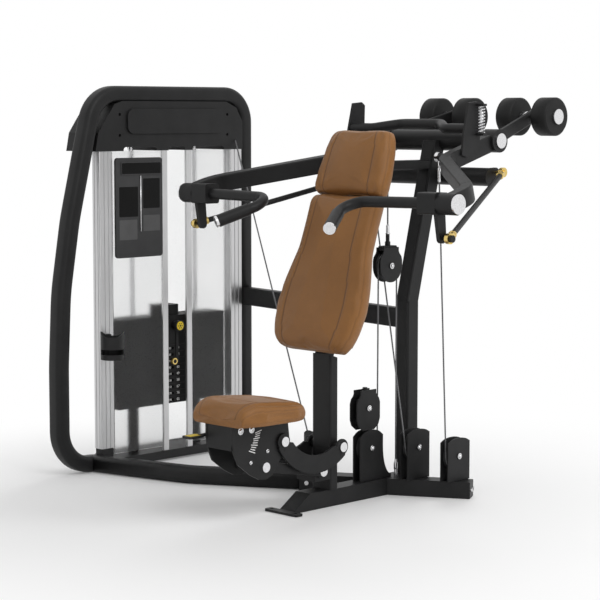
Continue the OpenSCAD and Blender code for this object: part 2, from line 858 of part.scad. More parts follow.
module placard() color(dark) {
    y0 = front_col_y + column_w + 8;
    mid_z = column_top - 219;
    w = slot_y - slot_w / 2 - trim_w - 6 - y0;
    translate([tower_x + seat_gap, y0 + w / 2, mid_z])
        rotate([0, 90, 0]) {
            linear_extrude(10)
                rrect(placard_h, w, 14);
            translate([41 - placard_h / 2, 8, 9])
                linear_extrude(5)
                    rrect(50, w - 34, 6);
        }
}

module cup_holder() color(black)
    translate([tower_x + 50, front_col_y + 20, 438]) {
        difference() {
            cylinder(d = 92, h = 108);
            translate([0, 0, 6])
                cylinder(d = 84, h = 200);
            translate([0, 0, 60])
                rotate([0, 90, -30])
                    cylinder(d = 58, h = 100);
        }
        translate([-50 + seat_gap, -14, 20])
            cube([9, 28, 70]);
    }

// Pads

module back_boards() color(black) on_spine() {
    translate([0, 0, back_s])
        rotate([90, 0, 0])
            linear_extrude(board_t)
                polygon(concat([for (u = board_places) [lookup(u, back_widths) / 2 - board_edge, back_len * u]],
                               [for (i = [len(board_places) - 1 : -1 : 0])
                                    [board_edge - lookup(board_places[i], back_widths) / 2, back_len * board_places[i]]]));
    translate([0, 0, head_s + head_len / 2])
        rotate([90, 0, 0])
            linear_extrude(board_t)
                rrect(head_w - 2 * board_edge - 30, head_len - 2 * board_edge, 20);
}

module back_pad() color(leather) on_spine()
    translate([0, -board_t - seat_gap, back_s])
        pad(back_len, back_widths, pad_t, 8, 0.34);

module head_pad() color(leather) on_spine()
    translate([0, -board_t - seat_gap, head_s])
        pad(head_len, [[0, head_w], [0.35, head_w - 4], [0.7, head_w - 26], [1, head_w - 66]], pad_t - 6, 9, 0.3);

module seat_cushion() color(leather)
    translate([0, seat_y + seat_len / 2, seat_z + seat_gap])
        rotate([90, 0, 0])
            mirror([0, 1, 0])
                pad(seat_len, [[0, 0.88 * seat_w], [0.2, seat_w], [0.7, seat_w - 8], [1, 0.86 * seat_w]], seat_t, 7, 0.36);

// Seat lift

// Slightly arched flat arm between two pivots in a plane across X
module swing_arm(from, x)
    difference() {
        to = from + lift_reach;
        union() {
            box_bar([x, from.y, from.z], [x, to.y, to.z], swing_t, swing_h - 8, 2);
            for (p = [from, to])
                pin_x(x - swing_t / 2, x + swing_t / 2, p.y, p.z, swing_h);
        }
        for (p = [from, to])
            pin_x(x - swing_t, x + swing_t, p.y, p.z, lift_pin_d + 2 * pin_play);
    }

// Sagging flat arm between two pivots, cut from a ring
module curved_arm(from, x) {
    reach = norm(lift_reach);
    ring_r = reach * reach / (8 * swing_sag) + swing_sag / 2;
    translate([x, from.y, from.z])
        rotate([90, 0, 90])
            rotate(atan2(lift_reach.z, lift_reach.y))
                linear_extrude(swing_t, center = true)
                    difference() {
                        union() {
                            intersection() {
                                translate([reach / 2, swing_sag - ring_r])
                                    difference() {
                                        circle(ring_r + swing_belly / 2, $fn = 96);
                                        circle(ring_r - swing_belly / 2, $fn = 96);
                                    }
                                translate([-swing_h / 2 + 3, 0])
                                    square([reach + swing_h - 6, 2 * ring_r]);
                            }
                            for (u = [0, reach])
                                translate([u, 0])
                                    circle(d = swing_h + 12);
                        }
                        for (u = [0, reach])
                            translate([u, 0])
                                circle(d = lift_pin_d + 2 * pin_play);
                    }
}

module upper_swing() color(black) for (s = SIDES) curved_arm(lift_a, s * curve_x);

module lower_swing() color(black) for (s = SIDES) swing_arm(lift_b, s * swing_x);

// Pin across the machine with a cap on each end
module capped_pin(half, y, z) {
    pin_x(-half, half, y, z, lift_pin_d);
    for (s = SIDES)
        translate([s * (half + 3), y, z])
            rotate([0, 90, 0])
                cylinder(d = lift_pin_d + 14, h = 6, center = true);
}

module post_pins() color(silver) {
    capped_pin(curve_x + swing_t / 2 + seat_gap, lift_a.y, lift_a.z);
    capped_pin(swing_x + swing_t / 2 + seat_gap, lift_b.y, lift_b.z);
}

module seat_carriage() color(black) {
    outer = plate_seat_x + seat_plate_t;
    difference() {
        for (s = SIDES)
            translate([s * (plate_seat_x + seat_plate_t / 2), 0, 0])
                rotate([90, 0, 90])
                    linear_extrude(seat_plate_t, center = true)
                        carriage_outline();
        for (p = [lift_a, lift_b])
            pin_x(-outer - 1, outer + 1, p.y + lift_reach.y, p.z + lift_reach.z, lift_pin_d + 2 * pin_play);
    }
    translate([-outer, seat_y - 120, seat_z - 10])
        cube([2 * outer, 240, 10]);
    translate([-plate_seat_x - 1, seat_y - 136, 262])
        cube([2 * plate_seat_x + 2, 8, seat_z - 262]);
}

// Side view of a carriage plate
module carriage_outline() {
    a = [lift_a.y + lift_reach.y, lift_a.z + lift_reach.z];
    b = [lift_b.y + lift_reach.y, lift_b.z + lift_reach.z];
    polygon([[seat_y - 138, seat_z], [seat_y + 120, seat_z], [a[0] + 34, a[1] + 10], [a[0] + 30, a[1] - 16],
             [b[0] + 46, b[1] - 12], [b[0] + 32, b[1] - 32], [b[0] + 4, b[1] - 42], [b[0] - 30, b[1] - 38],
             [b[0] - 70, b[1] - 18], [seat_y - 112, 214], [seat_y - 130, 254], [seat_y - 138, 296]]);
}

module carriage_pins() color(silver) {
    capped_pin(curve_x + swing_t / 2 + seat_gap, lift_a.y + lift_reach.y, lift_a.z + lift_reach.z);
    capped_pin(plate_seat_x + seat_plate_t, lift_b.y + lift_reach.y, lift_b.z + lift_reach.z);
    lever_pin();
}

module release_lever() color(dark) {
    x0 = -plate_seat_x - seat_plate_t - seat_gap;
    difference() {
        union() {
            pin_x(x0 - 14, x0, lever_y, lever_z, 26);
            box_bar([x0 - 7, lever_y, lever_z], [x0 - 7, lever_y - 90, lever_z - 5], 12, 10, 2);
            translate([x0 - 16, lever_y - 108, lever_z - 10])
                linear_extrude(8)
                    rrect(44, 66, 8);
        }
        pin_x(x0 - 20, x0 + 1, lever_y, lever_z, 10 + 2 * pin_play);
    }
}

module lever_pin() {
    x0 = -plate_seat_x - seat_plate_t;
    pin_x(x0 - 15, x0, lever_y, lever_z, 10);
    pin_x(x0 - 19, x0 - 15, lever_y, lever_z, 18);
}

// Press arms, drawn on the +X side and mirrored

module sided(s) mirror([s > 0 ? 0 : 1, 0, 0]) children();

module press_arm() color(black) difference() {
    union() {
        pin_x(hub_x - hub_l / 2, hub_x + hub_l / 2, pivot_y, pivot_z, hub_d);
        pin_x(grip_pivot.x - grip_hub_l / 2, grip_pivot.x + grip_hub_l / 2, grip_pivot.y, grip_pivot.z, grip_hub_d);
        bent_bar(arm_path, beam_w, beam_h, arm_bend_r);
        box_bar(arm_pivot, disc_mid + 30 * unit(disc_mid - arm_pivot), disc_bar_t, 48, 5);
        rod(anchor_pt, anchor_pt + [stub_l, 0, 0], stub_d);
    }
    pin_x(0, 500, pivot_y, pivot_z, shaft_d + 2 * pin_play);
    pin_x(500, 800, grip_pivot.y, grip_pivot.z, grip_shaft_d + 2 * pin_play);
    pin_x(hub_x + hub_l / 2, hub_x + hub_l, pivot_y, pivot_z, shaft_d + 30);
    pin_x(400, grip_pivot.x - grip_hub_l / 2, grip_pivot.y, grip_pivot.z, 2 * lever_sweep);
    pin_x(grip_pivot.x + grip_hub_l / 2, 800, grip_pivot.y, grip_pivot.z, grip_hub_d + 20);
    pin_x(0, 400, disc_mid.y, disc_mid.z, disc_axle_d + 2 * pin_play);
}

module counterweights() {
    reach = disc_off + disc_t / 2;
    color(black)
        for (s = SIDES)
            translate([disc_mid.x + s * disc_off, disc_mid.y, disc_mid.z])
                rotate([0, 90, 0])
                    rotate_extrude()
                        translate([0, -disc_t / 2])
                            polygon([[disc_axle_d / 2 + pin_play, 0], [disc_d / 2 - 6, 0], [disc_d / 2, 6],
                                     [disc_d / 2, disc_t - 6], [disc_d / 2 - 6, disc_t],
                                     [disc_axle_d / 2 + pin_play, disc_t]]);
    color(silver) {
        pin_x(disc_mid.x - reach - seat_gap, disc_mid.x + reach + seat_gap, disc_mid.y, disc_mid.z, disc_axle_d);
        for (s = SIDES) {
            translate([disc_mid.x + s * (reach + seat_gap + 5), disc_mid.y, disc_mid.z])
                rotate([0, 90, 0])
                    cylinder(d = 56, h = 10, center = true);
            translate([disc_mid.x + s * (disc_off - disc_t / 2 - spacer_l / 2 - seat_gap), disc_mid.y, disc_mid.z])
                rotate([0, 90, 0])
                    cylinder(d = 40, h = spacer_l, center = true);
        }
    }
}

module press_handle() color(black) {
    inner = grip_pivot.x - grip_hub_l / 2 - seat_gap;
    translate([inner - block_l / 2, grip_pivot.y, grip_pivot.z])
        rotate([0, 90, 0])
            linear_extrude(block_l, center = true)
                rrect(72, 68, 10);
    pin_x(inner, grip_pivot.x + grip_hub_l / 2 + seat_gap, grip_pivot.y, grip_pivot.z, grip_shaft_d);
    bent_tube([[inner - block_l + 2, grip_pivot.y, grip_pivot.z], handle_in, grip_tip], handle_d, grip_bend_r);
    hull() {
        translate([inner - 10, grip_pivot.y, grip_pivot.z - 20])
            rotate([0, 90, 0])
                cylinder(d = 44, h = 14, center = true, $fn = 32);
        translate([inner - 10, link_front.y, link_front.z])
            rotate([0, 90, 0])
                cylinder(d = 34, h = 14, center = true, $fn = 32);
    }
    pin_x(inner - 10, link_front.x + rod_end_t / 2 + 0.5, link_front.y, link_front.z, link_pin_d - 1);
    pin_x(link_front.x + rod_end_t / 2 + 0.5, link_front.x + rod_end_t / 2 + 10, link_front.y, link_front.z, 24);
    u = unit(grip_tip - handle_in);
    difference() {
        rod(grip_tip - grip_len * u, grip_tip, grip_d);
        rod(grip_tip - (grip_len + 5) * u, grip_tip + 5 * u, handle_d + 2 * pin_play);
    }
}

module handle_caps() color(silver) {
    u = unit(grip_tip - handle_in);
    rod(grip_tip + 0.1 * u, grip_tip + 9 * u, grip_d - 2);
    x0 = grip_pivot.x + grip_hub_l / 2 + seat_gap;
    pin_x(x0, x0 + 8, grip_pivot.y, grip_pivot.z, grip_hub_d - 6);
}

module link_rod() color(black) {
    lead = unit(link_front - link_rear);
    difference() {
        union() {
            rod(link_rear + 16 * lead, link_front - 12 * lead, link_d);
            for (p = [link_rear, link_front])
                pin_x(p.x - rod_end_t / 2, p.x + rod_end_t / 2, p.y, p.z, rod_end_d);
        }
        for (p = [link_rear, link_front])
            pin_x(p.x - 60, p.x + 60, p.y, p.z, link_pin_d + 2 * pin_play);
    }
}

// Pin from the fixed bracket through the rear rod end
module rear_link_pins() color(zinc)
    for (s = SIDES)
        sided(s) {
            pin_x(cross_half, link_rear.x + rod_end_t / 2 + seat_gap, link_rear.y, link_rear.z, link_pin_d);
            pin_x(link_rear.x + rod_end_t / 2 + seat_gap, link_rear.x + rod_end_t / 2 + 7, link_rear.y, link_rear.z, 17);
        }

module latch_frame() color(black) {
    latch_tubes();
    latch_plates();
}

module latch_tubes() {
    inner = latch_x - latch_t / 4;
    bent_tube([[inner, latch_mid.y, latch_mid.z], [latch_bend_x, latch_mid.y, latch_mid.z], latch_back,
               flip(latch_back, -1), [-latch_bend_x, latch_mid.y, latch_mid.z],
               [-inner, latch_mid.y, latch_mid.z]], latch_tube_d, 50);
}

module latch_plates()
    for (s = SIDES)
        sided(s) {
            translate([latch_x, latch_mid.y, latch_mid.z])
                rotate([90, 0, 90])
                    linear_extrude(latch_t, center = true)
                        polygon([[-34, -92], [-6, -100], [62, -62], [66, 84], [50, 96], [2, 92], [-26, -20]]);
            for (end = [0, 1])
                translate([latch_x + latch_t / 2 - 1, spring_at.y - 10, spring_at.z + (end > 0 ? spring_len : -8)])
                    cube([spring_od + 6, 20, 8]);
        }

// Spring wire: a helix with straight ends square to their seats
spring_r = (spring_od - spring_wire) / 2;
spring_steps = spring_n * 8;
function spring_point(i) =
    let (turn = i / 8, rise = spring_wire / 2 + 0.2)
    [spring_r * cos(360 * turn), spring_r * sin(360 * turn),
     rise + (spring_len - 2 * rise) * i / spring_steps];
spring_gap = min([for (i = [0 : 8 : spring_steps - 9], j = [6 : 10])
                      norm(spring_point(i) - spring_point(i + j))]) - spring_wire;
echo(spring_gap = spring_gap);

module latch_springs() color(silver) for (s = SIDES) sided(s) latch_spring();

module latch_spring()
    translate(spring_at)
        skin([for (i = [0 : spring_steps])
                  let (p = spring_point(i), out = [p.x, p.y, 0] / spring_r)
                  [for (k = [0 : 5])
                       p + spring_wire / 2 * (cos(60 * k) * out + sin(60 * k) * [0, 0, 1])]]);

// Pulleys and cables

// Placement of a floor pulley
module at_floor(i)
    translate(floor_wheels[i])
        rotate([0, 0, floor_yaws[i]])
            children();

module pulley_housings() color(black) {
    for (i = [0 : len(floor_wheels) - 1])
        at_floor(i)
            cheeks(floor_wheels[i].z - floor_seats[i] - seat_gap / 10, cheek_head);
    translate(upper_at) {
        cheeks(upper_at.z - floor_wheels[0].z - cheek_head - seat_gap, cheek_head);
        cube([cheek_gap + 2, cheek_w - 10, 70], center = true);
    }
}

module floor_wheel(i) color(dark) at_floor(i) wheel();

module pulley_wheel_1() floor_wheel(0);

module pulley_wheel_2() floor_wheel(1);

module pulley_wheel_3() floor_wheel(2);

module pulley_wheel_4() floor_wheel(3);

module floating_block() color(black)
    translate(float_at) {
        cheeks(60, cheek_head);
        translate([0, 0, cheek_head + 4])
            cube([cheek_gap + 2 * cheek_t, 34, 16], center = true);
        translate([0, 0, cheek_head + 10])
            cylinder(d = 14, h = stud_l);
    }

module floating_wheel() color(dark) translate(float_at) wheel();

// Cable with its threaded end fitting under the arm's stub
module arm_cable(from, to) color(silver) {
    top = from - [0, 0, stub_d / 2 + 2.4];
    down = unit(to - top);
    rod(top, top + 66 * down, 13);
    rod(top + 66 * down, to, cable_d);
}

module right_arm_cable() arm_cable(flip(anchor_pt + [10, 0, 0], -1), floor_wheels[1] - [0, run_in, 0]);

module left_arm_cable() arm_cable(anchor_pt + [10, 0, 0], floor_wheels[2] - [0, run_in, 0]);

// Long run from the tower head to the pulley on the front rail, and its drop into the rail
module main_cable() color(silver) {
    turn = [-sin(floor_yaws[3]), cos(floor_yaws[3]), 0];
    rod([tower_x + 8, rear_col_y + 20, column_top + 36], floor_wheels[3] + groove_r * turn + [0, 0, 20], cable_d);
    rod(floor_wheels[3] - groove_r * turn, [floor_wheels[3].x, floor_wheels[3].y, floor_seats[3] + seat_gap]
        - groove_r * turn, cable_d);
}

module stack_cable() color(silver)
    translate([plate_x, slot_y, head_z + head_h + neck_h + seat_gap])
        cylinder(d = cable_d, h = column_top + 15 - head_z - head_h - neck_h - 2 * seat_gap);

// Runs over the floating wheel: up from the first floor wheel, down to the anchor stud, and the hanger above
module lift_cable() color(silver) {
    rod(floor_wheels[0] + [0, groove_r, 10], float_at - [0, groove_r, 0], cable_d);
    rod([float_at.x, float_at.y + groove_r, rail_h + 24 + seat_gap], float_at + [0, groove_r, 0], cable_d);
    rod(float_at + [0, 0, cheek_head + 10 + stud_l + seat_gap],
        [float_at.x, float_at.y, yoke_z - yoke_h / 2 - seat_gap], cable_d);
}

module stack_strap() color(black)
    translate([plate_x + plate_l / 2 + seat_gap, slot_y + 16, pin_height - 6])
        cube([3, 14, knob_z - 24 - pin_height + 6]);

// Bolt heads on the rail sleeve and the rail's end, and the cable's anchor stud
module frame_bolts() color(silver) {
    translate([0, rail_y, 0])
        rotate([0, 0, rail_yaw]) {
            for (x = [22, 60])
                translate([x - rail_front_len, -rail_w / 2 - sleeve_wall - seat_gap, rail_h / 2])
                    rotate([90, 0, 0])
                        cylinder(d = 16, h = 7);
            for (y = [-16, 16])
                translate([rail_rear_len, y, rail_h / 2])
                    rotate([0, 90, 0])
                        cylinder(d = 14, h = 6);
        }
    translate([float_at.x, float_at.y + groove_r, rail_h])
        cylinder(d = 12, h = 24);
}

module left_arm() sided(1) press_arm();

module right_arm() sided(-1) press_arm();

module left_weights() sided(1) counterweights();

module right_weights() sided(-1) counterweights();

module left_handle() sided(1) press_handle();

module right_handle() sided(-1) press_handle();

module left_caps() sided(1) handle_caps();

module right_caps() sided(-1) handle_caps();

module left_link() sided(1) link_rod();

module right_link() sided(-1) link_rod();

module arm_cables() {
    left_arm_cable();
    right_arm_cable();
}

module stack_cables() {
    stack_cable();
    lift_cable();
}

seat_beam();
diagonal_rail();
seat_post();
rear_upright();
cross_tube();
pivot_tube();
pivot_shaft();
crossbar();
pad_spine();
tower_hoop();
tower_base();
extrusions();
front_shrouds();
back_shroud();
tower_cap();
guide_rods();
bumpers();
placard();
cup_holder();
resting_plates();
lifted_plates();
head_plate();
selector_rod();
selector_pin();
weight_knob();
stack_strap();
back_boards();
back_pad();
head_pad();
seat_cushion();
upper_swing();
lower_swing();
post_pins();
seat_carriage();
carriage_pins();
release_lever();
left_arm();
right_arm();
left_weights();
right_weights();
left_handle();
right_handle();
left_caps();
right_caps();
left_link();
right_link();
rear_link_pins();
latch_frame();
latch_springs();
pulley_housings();
pulley_wheel_1();
pulley_wheel_2();
pulley_wheel_3();
pulley_wheel_4();
floating_block();
floating_wheel();
arm_cables();
main_cable();
stack_cables();
frame_bolts();
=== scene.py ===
import json
import math

import bpy
import numpy as np
from mathutils import Matrix, Vector


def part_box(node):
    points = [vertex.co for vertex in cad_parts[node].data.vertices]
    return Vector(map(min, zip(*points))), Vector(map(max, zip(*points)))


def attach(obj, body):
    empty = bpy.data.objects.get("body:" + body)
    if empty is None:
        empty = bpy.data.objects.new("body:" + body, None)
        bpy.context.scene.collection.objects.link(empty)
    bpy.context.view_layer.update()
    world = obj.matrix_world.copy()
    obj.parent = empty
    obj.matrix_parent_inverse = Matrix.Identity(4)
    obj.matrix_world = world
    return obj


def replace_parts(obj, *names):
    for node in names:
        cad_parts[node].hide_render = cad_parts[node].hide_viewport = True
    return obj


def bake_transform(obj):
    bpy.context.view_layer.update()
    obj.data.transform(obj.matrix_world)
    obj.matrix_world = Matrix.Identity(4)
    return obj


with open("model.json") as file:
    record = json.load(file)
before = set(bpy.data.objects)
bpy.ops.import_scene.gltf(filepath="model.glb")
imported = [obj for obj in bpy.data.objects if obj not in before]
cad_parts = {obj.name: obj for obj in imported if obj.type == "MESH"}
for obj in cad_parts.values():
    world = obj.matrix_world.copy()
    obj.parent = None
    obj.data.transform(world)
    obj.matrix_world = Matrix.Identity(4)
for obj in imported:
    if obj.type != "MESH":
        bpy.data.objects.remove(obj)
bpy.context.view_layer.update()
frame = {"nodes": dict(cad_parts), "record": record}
nodes = frame["nodes"]
MM = 0.001
X, Y, UP, BACK_X = (1, 0, 0), (0, 1, 0), (0, 0, 1), (-1, 0, 0)
scene = bpy.context.scene


# Materials
class Shader:
    """A small helper round one node material."""

    def __init__(self, name):
        self.mat = bpy.data.materials.new(name)
        self.mat.use_nodes = True
        self.tree = self.mat.node_tree
        self.bsdf = self.tree.nodes["Principled BSDF"]

    def new(self, kind, **values):
        n = self.tree.nodes.new(kind)
        for k, v in values.items():
            if k in n.inputs:
                n.inputs[k].default_value = v
            else:
                setattr(n, k, v)
        return n

    def link(self, a, b):
        self.tree.links.new(a, b)

    def set(self, **values):
        for k, v in values.items():
            self.bsdf.inputs[k.replace("_", " ")].default_value = v
        return self

    def coords(self, stretch=(1, 1, 1)):
        m = self.new("ShaderNodeMapping")
        m.inputs["Scale"].default_value = stretch
        self.link(self.new("ShaderNodeTexCoord").outputs["Object"], m.inputs["Vector"])
        return m.outputs["Vector"]

    def noise(self, scale, detail=2.0, stretch=(1, 1, 1)):
        n = self.new("ShaderNodeTexNoise", Scale=scale, Detail=detail)
        self.link(self.coords(stretch), n.inputs["Vector"])
        return n.outputs["Fac"]

    def cells(self, scale, feature="F1"):
        n = self.new("ShaderNodeTexVoronoi", Scale=scale)
        n.feature = feature
        self.link(self.coords(), n.inputs["Vector"])
        return n.outputs["Distance"]

    def ramp(self, fac, stops):
        n = self.new("ShaderNodeValToRGB")
        r = n.color_ramp
        while len(r.elements) < len(stops):
            r.elements.new(0.5)
        for e, (p, c) in zip(r.elements, stops):
            e.position = p
            e.color = (*c, 1) if len(c) == 3 else c
        self.link(fac, n.inputs["Fac"])
        return n.outputs["Color"]

    def span(self, fac, low, high):
        n = self.new("ShaderNodeMapRange")
        n.inputs["To Min"].default_value = low
        n.inputs["To Max"].default_value = high
        self.link(fac, n.inputs["Value"])
        return n.outputs["Result"]

    def mix(self, fac, a, b, how="MIX"):
        n = self.new("ShaderNodeMix", data_type="RGBA", blend_type=how)
        if isinstance(fac, float):
            n.inputs[0].default_value = fac
        else:
            self.link(fac, n.inputs[0])
        for sock, v in ((6, a), (7, b)):
            if isinstance(v, tuple):
                n.inputs[sock].default_value = (*v, 1)
            else:
                self.link(v, n.inputs[sock])
        return n.outputs[2]

    def bump(self, height, distance, strength=1.0, under=None):
        n = self.new("ShaderNodeBump", Strength=strength, Distance=distance)
        self.link(height, n.inputs["Height"])
        if under is not None:
            self.link(under, n.inputs["Normal"])
        self.link(n.outputs["Normal"], self.bsdf.inputs["Normal"])
        return n.outputs["Normal"]

    def color(self, sock):
        self.link(sock, self.bsdf.inputs["Base Color"])
        return self

    def rough(self, sock):
        self.link(sock, self.bsdf.inputs["Roughness"])
        return self


def painted(name, dark, light, rough, spec, grain=900.0, depth=0.00012, coat=0.0):
    """Paint or moulded plastic: a fine orange-peel grain with slight tone and gloss changes."""
    m = Shader(name)
    m.set(Specular_IOR_Level=spec, Coat_Weight=coat, Coat_Roughness=0.3)
    m.color(m.ramp(m.noise(14.0, 4.0), [(0.3, dark), (0.7, light)]))
    m.rough(m.span(m.noise(60.0, 3.0), rough - 0.05, rough + 0.07))
    m.bump(m.noise(grain, 2.0), depth, 0.5)
    return m.mat


def metal(name, tone, rough, stretch=(1, 1, 1), grain=300.0, depth=0.00004):
    m = Shader(name)
    m.set(Metallic=1.0)
    dull = tuple(0.86 * c for c in tone)
    m.color(m.ramp(m.noise(grain, 3.0, stretch), [(0.3, dull), (0.7, tone)]))
    m.rough(m.span(m.noise(grain * 0.6, 4.0, stretch), rough - 0.06, rough + 0.08))
    m.bump(m.noise(grain * 2.0, 2.0, stretch), depth, 0.35)
    return m.mat


def hide(name, deep, mid, light):
    """Grained leather; the seam attribute darkens the sewn lines."""
    m = Shader(name)
    m.set(Specular_IOR_Level=0.34, Sheen_Weight=0.05)
    tone = m.ramp(m.noise(9.0, 5.0), [(0.28, mid), (0.72, light)])
    grain = m.cells(620.0, "DISTANCE_TO_EDGE")
    tone = m.mix(m.ramp(grain, [(0.0, (0.55, 0.55, 0.55)), (0.12, (0, 0, 0))]), tone, deep)
    seam = m.new("ShaderNodeAttribute", attribute_name="seam").outputs["Fac"]
    m.color(m.mix(seam, tone, deep))
    m.rough(m.span(m.noise(45.0, 3.0), 0.40, 0.52))
    first = m.bump(m.ramp(grain, [(0.0, (0, 0, 0)), (0.22, (1, 1, 1))]), 0.00022, 0.45)
    m.bump(m.noise(30.0, 3.0), 0.0012, 0.22, under=first)
    return m.mat


def frosted(name):
    m = Shader(name)
    m.set(Transmission_Weight=0.99, IOR=1.2, Specular_IOR_Level=0.15)
    m.color(m.ramp(m.noise(5.0, 2.0), [(0.3, (0.88, 0.885, 0.885)), (0.7, (0.92, 0.92, 0.92))]))
    m.rough(m.span(m.noise(400.0, 2.0), 0.24, 0.32))
    return m.mat


def woven(name, tone):
    m = Shader(name)
    wave = m.new("ShaderNodeTexWave", Scale=260.0, Distortion=0.6)
    wave.bands_direction = "Z"
    m.link(m.coords(), wave.inputs["Vector"])
    m.color(m.ramp(wave.outputs["Fac"], [(0.2, tuple(0.6 * c for c in tone)), (0.8, tone)]))
    m.set(Roughness=0.85)
    m.bump(wave.outputs["Fac"], 0.0004, 0.6)
    return m.mat


black = painted("frame_black", (0.0085, 0.0085, 0.0088), (0.0125, 0.0125, 0.0128), 0.46, 0.24, 1100.0)
plastic = painted("black_plastic", (0.0105, 0.0105, 0.011), (0.0155, 0.0155, 0.016), 0.5, 0.28, 1500.0)
cap_grey = painted("cap_plastic", (0.0095, 0.0095, 0.0098), (0.0135, 0.0135, 0.0138), 0.46, 0.24, 1500.0)
placard_grey = painted("placard_plastic", (0.038, 0.038, 0.039), (0.046, 0.046, 0.047), 0.5, 0.2, 1500.0)
iron = painted("plate_black", (0.008, 0.008, 0.008), (0.012, 0.012, 0.012), 0.55, 0.22, 700.0, 0.0002)
rubber = painted("black_rubber", (0.010, 0.010, 0.010), (0.015, 0.015, 0.015), 0.75, 0.2, 800.0)
board = painted("black_board", (0.010, 0.010, 0.010), (0.016, 0.015, 0.014), 0.6, 0.2, 200.0)
field = painted("placard_field", (0.075, 0.075, 0.076), (0.090, 0.090, 0.091), 0.5, 0.2, 900.0)
deep_field = painted("placard_inset", (0.003, 0.003, 0.003), (0.0045, 0.0045, 0.0045), 0.4, 0.12, 900.0)
white = painted("white_mark", (0.66, 0.66, 0.65), (0.74, 0.74, 0.73), 0.5, 0.3, 900.0)
yellow = painted("yellow_mark", (0.62, 0.45, 0.012), (0.72, 0.53, 0.02), 0.42, 0.35, 900.0)
chrome = metal("bright_steel", (0.80, 0.80, 0.81), 0.20, grain=160.0)
brushed = metal("column_aluminium", (0.64, 0.64, 0.645), 0.40, stretch=(14, 14, 0.25), grain=60.0,
                depth=0.000008)
strand = metal("cable_steel", (0.20, 0.20, 0.205), 0.42)
zinc = metal("zinc_yellow", (0.78, 0.58, 0.20), 0.28, grain=120.0)
leather = hide("tan_leather", (0.070, 0.026, 0.006), (0.228, 0.097, 0.022), (0.272, 0.118, 0.028))
frost = frosted("frosted_sheet")
strap = woven("black_strap", (0.016, 0.016, 0.016))

finish = {
    "frame_black": black, "bright_steel": chrome, "cable_steel": strand, "column_aluminium": brushed,
    "frosted_sheet": frost, "black_plastic": plastic, "plate_black": iron, "black_rubber": rubber,
    "black_strap": strap, "black_board": board, "tan_leather": leather, "zinc_yellow": zinc,
}
for part in frame["record"]["subparts"]:
    mesh = nodes[part["node"]].data
    mesh.materials.clear()
    mesh.materials.append(finish[part["material_slot"]])
nodes["tower_cap"].data.materials[0] = cap_grey
nodes["placard"].data.materials[0] = placard_grey

# Bright caps on the ends of the counterweight axles
AXLE_Y, AXLE_Z, CAP_R = 0.905, 1.364, 0.0283
for n in ("left_weights", "right_weights"):
    mesh = nodes[n].data
    mesh.materials.append(chrome)
    for poly in mesh.polygons:
        if all(math.hypot(mesh.vertices[i].co.y - AXLE_Y, mesh.vertices[i].co.z - AXLE_Z) < CAP_R
               for i in poly.vertices):
            poly.material_index = 1

# Rounded edges on the CAD pieces
SOFT_EDGES = {
    "seat_beam": 2.0, "diagonal_rail": 1.5, "seat_post": 1.5, "crossbar": 1.5, "pad_spine": 1.5,
    "seat_carriage": 1.5, "upper_swing": 2.0,
    "lower_swing": 1.5, "placard": 1.5, "head_plate": 2.0, "resting_plates": 1.5, "lifted_plates": 1.5,
    "tower_base": 2.0, "release_lever": 1.5, "back_boards": 2.0, "stack_strap": 0.6,
    "tower_cap": 3.0, "weight_knob": 1.0, "left_weights": 2.0, "right_weights": 2.0, "rear_upright": 1.5,
}
for name, width in SOFT_EDGES.items():
    ob = nodes[name]
    weld = ob.modifiers.new("weld", "WELD")
    weld.merge_threshold = 0.00002
    bev = ob.modifiers.new("edges", "BEVEL")
    bev.width = width * MM
    bev.segments = 2
    bev.limit_method = "ANGLE"
    bev.angle_limit = math.radians(50)
    bev.harden_normals = True
    bev.use_clamp_overlap = True


# Mesh helpers
def piece(name, verts, faces, mat, body=None, smooth=True, seam=None):
    """A mesh from points in mm."""
    mesh = bpy.data.meshes.new(name)
    mesh.from_pydata([tuple(float(c) * MM for c in v) for v in verts], [], faces)
    mesh.update()
    mesh.materials.append(mat)
    if smooth:
        mesh.polygons.foreach_set("use_smooth", [True] * len(mesh.polygons))
    if seam is not None:
        att = mesh.attributes.new("seam", "FLOAT", "POINT")
        att.data.foreach_set("value", np.asarray(seam, np.float32))
    ob = bpy.data.objects.new(name, mesh)
    scene.collection.objects.link(ob)
    if body:
        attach(ob, body)
    return ob


def axes_from(direction):
    w = Vector(direction).normalized()
    u = w.orthogonal().normalized()
    return u, w.cross(u), w


